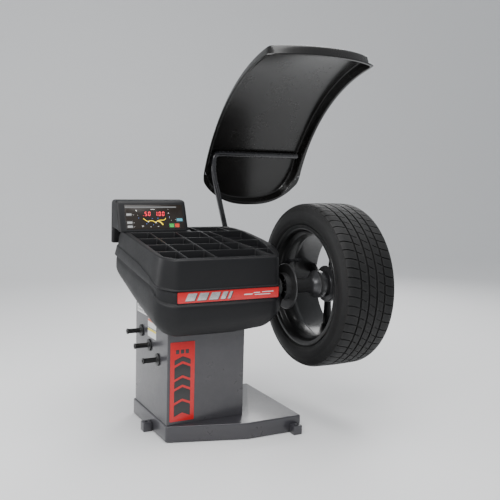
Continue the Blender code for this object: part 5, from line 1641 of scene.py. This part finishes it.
# ==== guard
@dataclass
class Guard:
    """Dished guard, its bent tube and its screws.

    Attributes:
        shop: Where finished pieces go.
        left: Left edge.
        right: Right edge.
        arc: Centre of the guard's arc, as y and z.
        radius: Radius of the lip.
        depth: Depth of the pan.
        skin: Thickness of the skin.
    """

    shop: Workshop
    left: float = 0.4
    right: float = 0.955
    arc: Pair = (-0.195, 0.82)
    radius: float = 0.805
    depth: float = 0.044
    skin: float = 0.004

    def point(self, across: float, along: float, depth: float) -> Triple:
        """A point of the guard.

        Args:
            across: From -1 at the left to 1 at the right.
            along: From 0 at the bottom to 1 at the top.
            depth: How far outwards.

        Returns:
            The point.
        """
        clipped = min(1.0, abs(across))
        low = math.radians(9.8) + math.radians(8.2) * clipped ** 2.6
        high = math.radians(79.0) + math.radians(5.0) * (1.0 - clipped ** 2.2)
        angle = low + (high - low) * along
        reach = self.radius + depth
        x = (self.left + self.right) / 2 + (self.right - self.left) / 2 * across
        return (x, self.arc[0] + reach * math.cos(angle), self.arc[1] + reach * math.sin(angle))

    @staticmethod
    def profile() -> list[Pair]:
        """Section across the lip: distance in from the edge, and share of the depth.

        Returns:
            The section.
        """
        return [(0.0, 0.055), (0.0005, 0.022), (0.0016, 0.004), (0.003, 0.0), (0.007, 0.0), (0.0102, 0.0),
                (0.0118, 0.006), (0.013, 0.03), (0.0139, 0.085), (0.0148, 0.18), (0.0162, 0.36),
                (0.018, 0.58), (0.0198, 0.78), (0.0212, 0.9), (0.0228, 0.965), (0.025, 0.992),
                (0.0285, 1.0), (0.036, 1.0)]

    def grid(self) -> tuple[list[float], list[float], list[float], list[float]]:
        """Places across and along the guard, each with its distance in from the edge.

        Returns:
            Places across, their distances, places along and their distances.
        """
        width, height = self.right - self.left, self.radius * math.radians(66.0)
        lip = [distance for distance, _ in self.profile()]
        fine = [*lip, *spaced(0.0385, 0.112, 34)]
        coarse = 0.126
        across = [-1 + 2 * d / width for d in fine]
        across += spaced(-1 + 2 * coarse / width, 1 - 2 * coarse / width, 22)
        across += [1 - 2 * d / width for d in reversed(fine)]
        along = [d / height for d in fine] + spaced(coarse / height, 1 - 0.05 / height, 52)
        along += [1 - d / height for d in reversed(lip)]
        gaps_across = [min(1 + u, 1 - u) * width / 2 for u in across]
        gaps_along = [min(v, 1 - v) * height for v in along]
        return across, gaps_across, along, gaps_along

    def share(self, first: float, second: float, corner: float) -> float:
        """Share of the full depth at a place, with rounded inner corners.

        Args:
            first: Distance in from the nearer side.
            second: Distance in from the nearer end.
            corner: Radius of the corner, measured at the edge.

        Returns:
            The share, from 0 to 1.
        """
        distance = min(first, second)
        if first < corner and second < corner:
            distance = corner - math.hypot(corner - first, corner - second)
        distance = max(0.0, distance)
        table = self.profile()
        for (low, start), (high, stop) in zip(table, table[1:]):
            if distance <= high:
                return start + (stop - start) * (distance - low) / (high - low)
        return 1.0

    def shell(self) -> None:
        """Thin dished shell with a turned lip."""
        across, gaps_across, along, gaps_along = self.grid()
        form = Form()
        half_width = (self.right - self.left) / 2
        sheets = []
        for offset in (0.0, self.skin):
            sheet = []
            for v, gap_v in zip(along, gaps_along):
                line = []
                for u, gap_u in zip(across, gaps_across):
                    round_u, round_v, corner = (0.034, 0.016, 0.1) if v < 0.5 else (0.018, 0.007, 0.034)
                    pull_u = u * (1.0 - round_u * abs(2 * v - 1) ** 34)
                    pull_v = 0.5 + (v - 0.5) * (1.0 - round_v * abs(u) ** 22)
                    if u > 0.0:
                        wider = 0.017 * max(0.0, 1.0 - v / 0.3) * min(1.0, gap_u / 0.0102)
                        pull_u -= wider * max(0.0, 1.0 - gap_u / half_width) / half_width
                    depth = self.depth * self.share(gap_u, gap_v, corner) + offset
                    line.append(form.bm.verts.new(self.point(pull_u, pull_v, depth)))
                sheet.append(line)
            sheets.append(sheet)
        rows, columns = len(along), len(across)
        for number, sheet in enumerate(sheets):
            for row in range(rows - 1):
                for column in range(columns - 1):
                    quad = (sheet[row][column], sheet[row][column + 1], sheet[row + 1][column + 1],
                            sheet[row + 1][column])
                    form.bm.faces.new(quad if number else tuple(reversed(quad)))
        border = [(0, c) for c in range(columns)] + [(r, columns - 1) for r in range(1, rows)]
        border += [(rows - 1, c) for c in range(columns - 2, -1, -1)]
        border += [(r, 0) for r in range(rows - 2, 0, -1)]
        inner, outer = sheets
        for index, (row, column) in enumerate(border):
            next_row, next_column = border[(index + 1) % len(border)]
            form.bm.faces.new((inner[row][column], inner[next_row][next_column], outer[next_row][next_column],
                               outer[row][column]))
        self.shop.piece("guard_pan", form, "gloss_black", "guard", replaces=["guard_shell"], angle=70.0)

    def arm(self) -> None:
        """Bent tube that ends in a boss on the pivot shaft."""
        pivot, bar_z, bar_x, tube_radius, boss_radius = (0.555, 0.83), 1.212, 0.443, 0.0134, 0.021
        facet = math.radians(84.0 - 9.8) / 12
        reach = (self.radius + self.depth) * math.cos(facet / 2) - tube_radius - 0.0009
        bar_y = self.arc[0] + math.sqrt(reach ** 2 - (bar_z - self.arc[1]) ** 2)
        corners = [Vector((0.521, 0.555, 0.846)), Vector((bar_x, bar_y + 0.002, 1.118)),
                   Vector((bar_x, bar_y, bar_z)), Vector((0.92, bar_y, bar_z))]
        path = [corners[0]]
        for number, radius in ((1, 0.03), (2, 0.034)):
            here = corners[number]
            ends = [here + (corners[number + way] - here).normalized() * radius for way in (-1, 1)]
            path += [Vector(point) for point in curve(ends[0], here, ends[1], 14)]
        path.append(corners[-1])
        bore = Form().turned([(0.45, 0.0), (0.45, 0.016), (0.6, 0.016), (0.6, 0.0)], 48, pivot)
        tube = self.shop.cut(Form().tube(path, tube_radius, 40), bore)
        self.shop.piece("guard_tube", tube, "gloss_tube", "guard", replaces=["guard_arm"], angle=60.0)
        boss = Form().turned([(0.504, 0.0124), (0.504, boss_radius - 0.001), (0.505, boss_radius),
                              (0.537, boss_radius), (0.538, boss_radius - 0.001), (0.538, 0.0124)], 48, pivot)
        self.shop.piece("guard_tube_boss", boss, "gloss_tube", "guard")

    def screws(self) -> None:
        """Screws through the lower lip."""
        form = Form()
        for across, along in ((-0.976, 0.06), (0.905, 0.058), (0.96, 0.058)):
            place = Vector(self.point(across, along, 0.0))
            towards = (Vector((place.x, *self.arc)) - place).normalized()
            form.join(self.shop.screw(tuple(place + towards * 0.0001), tuple(towards), 0.0034, 0.0018))
        self.shop.piece("guard_lip_screws", form, "ground_steel", "guard")


# ==== wheel
@dataclass
class Wheel:
    """Tyre, rim, hub and clamping parts.

    Attributes:
        shop: Where finished pieces go.
        pitches: Tread pitches round the tyre.
    """

    shop: Workshop
    pitches: int = 58

    def tyre(self) -> None:
        """Tyre with ribs, sipes and shoulder blocks."""
        x0, x1, top, lip = TYRE_LEFT, TYRE_RIGHT, TREAD_RADIUS, RIM_LIP_RADIUS
        left, right, bead, flank = RIM_LEFT, RIM_RIGHT, 0.255, RIM_LIP_RADIUS + 0.003
        side = [(left + 0.0125, bead), (left + 0.009, bead + 0.006), (left + 0.0065, flank - 0.004),
                (left + 0.002, flank + 0.002), (x0 + 0.004, lip + 0.0105), (x0 + 0.003, lip + 0.015),
                (x0 + 0.0022, lip + 0.0165), (x0 + 0.0022, lip + 0.0185), (x0 + 0.0012, lip + 0.02),
                (x0 + 0.0002, lip + 0.03), (x0, lip + 0.038), (x0 + 0.0006, lip + 0.046),
                (x0 + 0.0022, lip + 0.054), (x0 + 0.0042, lip + 0.06), (x0 + 0.0049, lip + 0.0605),
                (x0 + 0.0058, lip + 0.0635),
                (x0 + 0.0062, lip + 0.064), (x0 + 0.009, lip + 0.07), (x0 + 0.0125, lip + 0.0765)]
        inner = [(right - 0.028, bead), (right - 0.022, lip + 0.004), (x1 - 0.012, lip + 0.036),
                 (x1 - 0.024, top - 0.024), ((x0 + x1) / 2, top - 0.013), (x0 + 0.024, top - 0.024),
                 (x0 + 0.012, lip + 0.036), (left + 0.022, lip + 0.004), (left + 0.028, bead)]
        bands = self.tread_bands()
        mirror = [(x0 + x1 - x, r) for x, r in reversed(side)]
        points: list[Band] = [(x, r, 0.0, 0.0) for x, r in side]
        points += bands
        points += [(x, r, 0.0, 0.0) for x, r in mirror] + [(x, r, 0.0, 0.0) for x, r in inner]
        form = Form()
        steps = (0.0, 0.16, 0.34, 0.52, 0.7, 0.86, 0.885, 0.975)
        loops = []
        for pitch in range(self.pitches):
            for step in steps:
                cut = 1.0 if step > 0.88 else 0.0
                loop = []
                for x, radius, depth, shear in points:
                    angle = 2 * math.pi * (pitch + step + shear) / self.pitches
                    reach = radius - depth * cut
                    loop.append(form.bm.verts.new((x, AXIS[0] + reach * math.cos(angle),
                                                   AXIS[1] + reach * math.sin(angle))))
                loops.append(loop)
        count = len(points)
        for index, loop in enumerate(loops):
            follow = loops[(index + 1) % len(loops)]
            for number in range(count):
                after = (number + 1) % count
                form.bm.faces.new((loop[number], loop[after], follow[after], follow[number]))
        self.shop.piece("tyre_carcass", form, "tyre", "rotor", replaces=["wheel_tyre"], angle=33.0)

    @staticmethod
    def tread_bands() -> list[Band]:
        """Tread section as x, radius, depth of the cross cuts and their lean in pitches.

        Returns:
            The section from the left shoulder to the right one.
        """
        middle = (TYRE_LEFT + TYRE_RIGHT) / 2

        def crown(x: float) -> float:
            """Radius of the uncut tread."""
            away = abs(x - middle)
            shoulder = max(0.0, away - 0.098)
            return TREAD_RADIUS - 0.0022 * (away / 0.1) ** 2 - 0.0085 * (shoulder / 0.0225) ** 1.8

        def lean(x: float) -> float:
            """How far the cross cuts lean at a place."""
            place = (x - middle) / 0.1325
            return 0.95 * math.sin(place * 1.9) + 0.25 * place

        rows: list[Band] = []
        grooves = ((middle - 0.06, 0.0044), (middle - 0.02, 0.0048), (middle + 0.02, 0.0048),
                   (middle + 0.06, 0.0044))
        edges = [TYRE_LEFT + 0.015, *[x for centre, half in grooves for x in (centre - half, centre + half)],
                 TYRE_RIGHT - 0.015]
        for rib in range(5):
            start, stop = edges[2 * rib], edges[2 * rib + 1]
            shoulder = rib in (0, 4)
            depth = 0.0058 if shoulder else 0.0046
            count = 9 if shoulder else 7
            for number, x in enumerate(spaced(start, stop, count)):
                uncut = number in {1: (5, 6), 2: (0, 6), 3: (0, 1)}.get(rib, ())
                rows.append((x, crown(x), 0.0 if uncut else depth, lean(x)))
            if rib < 4:
                centre, half = grooves[rib]
                for x in (centre + half * share for share in (-0.78, -0.5, 0.5, 0.78)):
                    sunk = 0.0072 if abs(x - centre) < half * 0.6 else 0.0066
                    rows.append((x, crown(x) - sunk, 0.0, lean(x)))
        return rows

    def rim(self) -> None:
        """Rim barrel, five dished spokes and the bored hub."""
        left, right, lip, seat, drop, wall = RIM_LEFT, RIM_RIGHT, RIM_LIP_RADIUS, 0.254, 0.236, 0.006
        barrel = [(left, lip - 0.0015), (left + 0.0015, lip), (left + 0.004, lip),
                  (left + 0.0052, lip - 0.0015),
                  (left + 0.0062, seat + 0.009), (left + 0.008, seat + 0.003), (left + 0.0105, seat),
                  (left + 0.03, seat - 0.001), (left + 0.034, seat - 0.0015), (left + 0.038, seat - 0.005),
                  (left + 0.048, drop + 0.003), (left + 0.054, drop), (left + 0.088, drop),
                  (left + 0.094, drop + 0.002), (left + 0.108, seat - 0.006), (left + 0.114, seat - 0.004),
                  (right - 0.03, seat - 0.001),
                  (right - 0.0105, seat), (right - 0.008, seat + 0.003), (right - 0.0062, seat + 0.009),
                  (right - 0.0052, lip - 0.0015), (right - 0.004, lip), (right - 0.0015, lip),
                  (right, lip - 0.0015), (right, seat + 0.004), (right - 0.001, seat - 0.002),
                  (right - 0.012, seat - wall - 0.002), (left + 0.118, seat - wall - 0.004),
                  (left + 0.11, seat - wall - 0.006), (left + 0.096, drop - wall + 0.001),
                  (left + 0.09, drop - wall), (left + 0.052, drop - wall),
                  (left + 0.046, drop - wall + 0.001),
                  (left + 0.036, seat - wall - 0.004), (left + 0.03, seat - wall - 0.001),
                  (left + 0.012, seat - wall), (left + 0.004, seat - 0.002), (left + 0.0012, seat + 0.002),
                  (left, seat + 0.006)]
        form = Form().turned(barrel, 144)
        self.shop.piece("rim_barrel", form, "alloy_black", "rotor", replaces=["wheel_rim"], angle=36.0)
        face, outer, start = HUB_FACE + 0.0004, 0.8304, math.radians(8.0)
        spokes = Form()
        for number in range(5):
            spokes.join(self.spoke(start + 2 * math.pi * number / 5, face, outer))
        self.shop.piece("rim_spokes", spokes, "alloy_black", "rotor", angle=40.0)
        boss = Form().turned([(face, 0.0372), (face + 0.0012, 0.036), (outer - 0.0012, 0.036),
                              (outer, 0.0372), (outer, 0.069), (outer - 0.0015, 0.0722),
                              (outer - 0.0045, 0.0748),
                              (face + 0.004, 0.075), (face + 0.0012, 0.0742), (face, 0.0722)], 96)
        holes = Form()
        for number in range(5):
            angle = start + math.pi / 5 + 2 * math.pi * number / 5
            centre = (AXIS[0] + 0.057 * math.cos(angle), AXIS[1] + 0.057 * math.sin(angle))
            holes.join(Form().turned([(face - 0.01, 0.0), (face - 0.01, 0.007), (outer - 0.006, 0.007),
                                      (outer + 0.001, 0.0122), (outer + 0.001, 0.0)], 32, centre))
        self.shop.piece("rim_hub", self.shop.cut(boss, holes), "alloy_black", "rotor", angle=36.0)

    @staticmethod
    def spoke(angle: float, face: float, outer: float) -> Form:
        """One dished spoke with rounded edges.

        Args:
            angle: Its direction about the axis, in radians.
            face: Where the hub starts along the axis.
            outer: Where the hub ends along the axis.

        Returns:
            The spoke.
        """
        stations = [(0.068, 0.019, face + 0.002, outer - 0.0065),
                    (0.095, 0.0172, face + 0.006, outer + 0.002),
                    (0.15, 0.017, face + 0.022, face + 0.052),
                    (0.205, 0.0205, face + 0.037, face + 0.066),
                    (0.235, 0.024, 0.848, 0.874), (0.2474, 0.0264, 0.8515, 0.8785)]
        sections = [[(back, -half * 0.7, radius), (back, half * 0.7, radius), (front, half, radius),
                     (front, -half, radius)] for radius, half, back, front in stations]
        smooth = softened(sections, [0.45] * 4, 6)
        rings = []
        for section in smooth:
            flat = rounded([(y, x) for x, y, _ in section], 0.0062, 6)
            rings.append([(x, y, section[0][2]) for y, x in flat])
        form = Form().rings(rings, first_cap=True, last_cap=True)
        turn = Matrix.Translation((0.0, *AXIS)) @ Matrix.Rotation(angle - math.pi / 2, 4, "X")
        return form.turned_by(turn)

    def hub(self) -> None:
        """Bell-shaped hub with fine rings."""
        face, drum, neck, flange, bore = HUB_FACE, 0.0625, 0.034, 0.083, 0.0224
        profile = [(0.57, bore), (0.57, neck - 0.003), (0.5715, neck - 0.0006), (0.574, neck),
                   (0.676, neck), (0.686, neck + 0.001), (0.697, neck + 0.006),
                   (0.708, drum - 0.009), (0.712, drum - 0.004),
                   (0.7145, drum - 0.0008), (0.717, drum), (0.724, drum), (0.7245, drum - 0.0008),
                   (0.7255, drum - 0.0008), (0.726, drum), (0.744, drum), (0.747, drum - 0.001),
                   (0.75, drum - 0.0045), (face - 0.032, drum - 0.006), (face - 0.029, drum - 0.004),
                   (face - 0.0272, drum + 0.002), (face - 0.026, flange - 0.004),
                   (face - 0.0252, flange - 0.0012),
                   (face - 0.023, flange), (face - 0.014, flange), (face - 0.0134, flange - 0.001),
                   (face - 0.0122, flange - 0.001), (face - 0.0116, flange), (face - 0.003, flange),
                   (face - 0.0008, flange - 0.0009), (face, flange - 0.003), (face, 0.0535),
                   (face - 0.0012, 0.052),
                   (face - 0.03, 0.05), (face - 0.042, 0.03), (face - 0.042, bore)]
        self.shop.piece("hub_bell", Form().turned(profile, 128), "ring_steel", "rotor", slot="black_steel",
                        replaces=["hub_flange"], angle=30.0)

    def clamp(self) -> None:
        """Pressure cup."""
        left = 0.8312
        right = left + 0.034
        cup = [(left, 0.0535), (left, 0.061), (left + 0.001, 0.0622), (left + 0.0025, 0.0625),
               (left + 0.01, 0.0625), (left + 0.0125, 0.0618), (right - 0.0085, 0.0462),
               (right - 0.0055, 0.0436), (right - 0.001, 0.041), (right, 0.0395), (right, 0.02),
               (right - 0.012, 0.02), (right - 0.014, 0.036),
               (left + 0.01, 0.0505)]
        self.shop.piece("cup_body", Form().turned(cup, 96), "hard_black", "clamp", slot="black_abs",
                        replaces=["pressure_cup"], angle=34.0)


# ==== finishes of the remaining nodes
@dataclass
class Works:
    """Finishes for the CAD nodes that stay on show.

    Attributes:
        shop: Where the materials come from.
    """

    shop: Workshop

    def dress(self) -> None:
        """Give each node on show its finish."""
        slots = {row["node"]: row["material_slot"] for row in frame["record"]["subparts"]}
        for name, node in frame["nodes"].items():
            if node.hide_render:
                continue
            finish = NODE_FINISH.get(name, slots.get(name, "black_steel"))
            node.data.materials.clear()
            known = finish if finish in FINISHES else "black_steel"
            node.data.materials.append(self.shop.materials.get(known))


# ==== studio
@dataclass
class Studio:
    """Floor, lights and camera.

    Attributes:
        eye: Where the camera stands, in the machine's coordinates.
    """

    eye: Triple = (-1.083, -2.724, 1.151)

    def build(self, shift: Vector) -> None:
        """Set the floor, the lights and the camera.

        Args:
            shift: From the machine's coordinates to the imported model's.
        """
        self.floor()
        self.world()
        self.lights()
        self.camera(shift)

    @staticmethod
    def floor() -> None:
        """A plain pale floor that rises far behind the machine."""
        form = Form()
        run = [(-6.0, 0.0), (4.2, 0.0)]
        run += [(4.2 + 1.8 * math.sin(a), 1.8 * (1 - math.cos(a))) for a in spaced(0.15, math.pi / 2, 9)]
        run.append((6.0, 6.0))
        form.rings([[(x, y, z - 0.0002) for y, z in run] for x in (-9.0, 9.0)], closed=False)
        bmesh.ops.reverse_faces(form.bm, faces=form.bm.faces)
        mesh = bpy.data.meshes.new("studio_floor")
        form.bm.to_mesh(mesh)
        form.bm.free()
        mesh.shade_smooth()
        material = bpy.data.materials.new("studio_floor_look")
        material.use_nodes = True
        shader = material.node_tree.nodes["Principled BSDF"]
        shader.inputs["Base Color"].default_value = (0.9, 0.9, 0.9, 1.0)
        shader.inputs["Roughness"].default_value = 0.75
        shader.inputs["Specular IOR Level"].default_value = 0.2
        mesh.materials.append(material)
        made = bpy.data.objects.new("studio_floor", mesh)
        bpy.context.scene.collection.objects.link(made)
        made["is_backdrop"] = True

    @staticmethod
    def world() -> None:
        """Even pale light from all round."""
        world = bpy.data.worlds.new("studio_world")
        world.use_nodes = True
        background = world.node_tree.nodes["Background"]
        background.inputs["Color"].default_value = (0.93, 0.96, 1.0, 1.0)
        background.inputs["Strength"].default_value = 0.55
        bpy.context.scene.world = world

    @staticmethod
    def lights() -> None:
        """Soft panels of light."""
        for name, place, size, power in (("key", (-2.6, -2.6, 3.0), (2.2, 1.6), 95.0),
                                         ("top", (0.3, -0.4, 3.4), (3.2, 1.4), 80.0),
                                         ("side", (-3.2, 0.9, 1.6), (1.6, 1.8), 45.0),
                                         ("back", (2.6, 2.8, 2.6), (2.0, 1.4), 60.0)):
            data = bpy.data.lights.new(f"studio_{name}", "AREA")
            data.shape = "RECTANGLE"
            data.size, data.size_y = size
            data.energy = power
            made = bpy.data.objects.new(f"studio_{name}", data)
            made.location = place
            aim = Vector((0.0, 0.0, 0.75)) - Vector(place)
            made.rotation_euler = aim.to_track_quat("-Z", "Y").to_euler()
            bpy.context.scene.collection.objects.link(made)
            made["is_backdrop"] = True

    def camera(self, shift: Vector) -> None:
        """Camera low at the machine's front left.

        Args:
            shift: From the machine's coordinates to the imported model's.
        """
        turn, dip, roll = math.radians(28.08), math.radians(6.53), math.radians(1.53)
        ahead = Vector((math.sin(turn) * math.cos(dip), math.cos(turn) * math.cos(dip), -math.sin(dip)))
        right = Vector((math.cos(turn), -math.sin(turn), 0.0))
        above = right.cross(ahead)
        side = right * math.cos(roll) + above * math.sin(roll)
        top = above * math.cos(roll) - right * math.sin(roll)
        data = bpy.data.cameras.new("studio_camera")
        data.lens, data.sensor_width = 52.28, 36.0
        data.clip_start, data.clip_end = 0.05, 60.0
        made = bpy.data.objects.new("studio_camera", data)
        axes = Matrix((side, top, -ahead)).transposed().to_4x4()
        made.matrix_world = Matrix.Translation(Vector(self.eye) + shift) @ axes
        bpy.context.scene.collection.objects.link(made)
        bpy.context.scene.camera = made
        made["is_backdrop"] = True


def corners() -> list[list[float]]:
    """Lowest and highest corner of what is on show.

    Returns:
        The two corners as plain lists.
    """
    return [list(corner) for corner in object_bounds()]


def main() -> None:
    """Build the looks of the machine."""
    logging.basicConfig(level=logging.INFO, format="%(name)s: %(message)s")
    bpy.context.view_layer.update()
    shop = Workshop()
    Cabinet(shop).build()
    Hood(shop).build()
    Console(shop).build()
    guard = Guard(shop)
    guard.shell()
    guard.arm()
    guard.screws()
    wheel = Wheel(shop)
    wheel.tyre()
    wheel.rim()
    wheel.hub()
    wheel.clamp()
    Works(shop).dress()
    Studio().build(shop.shift)


if __name__ == "__main__":
    main()
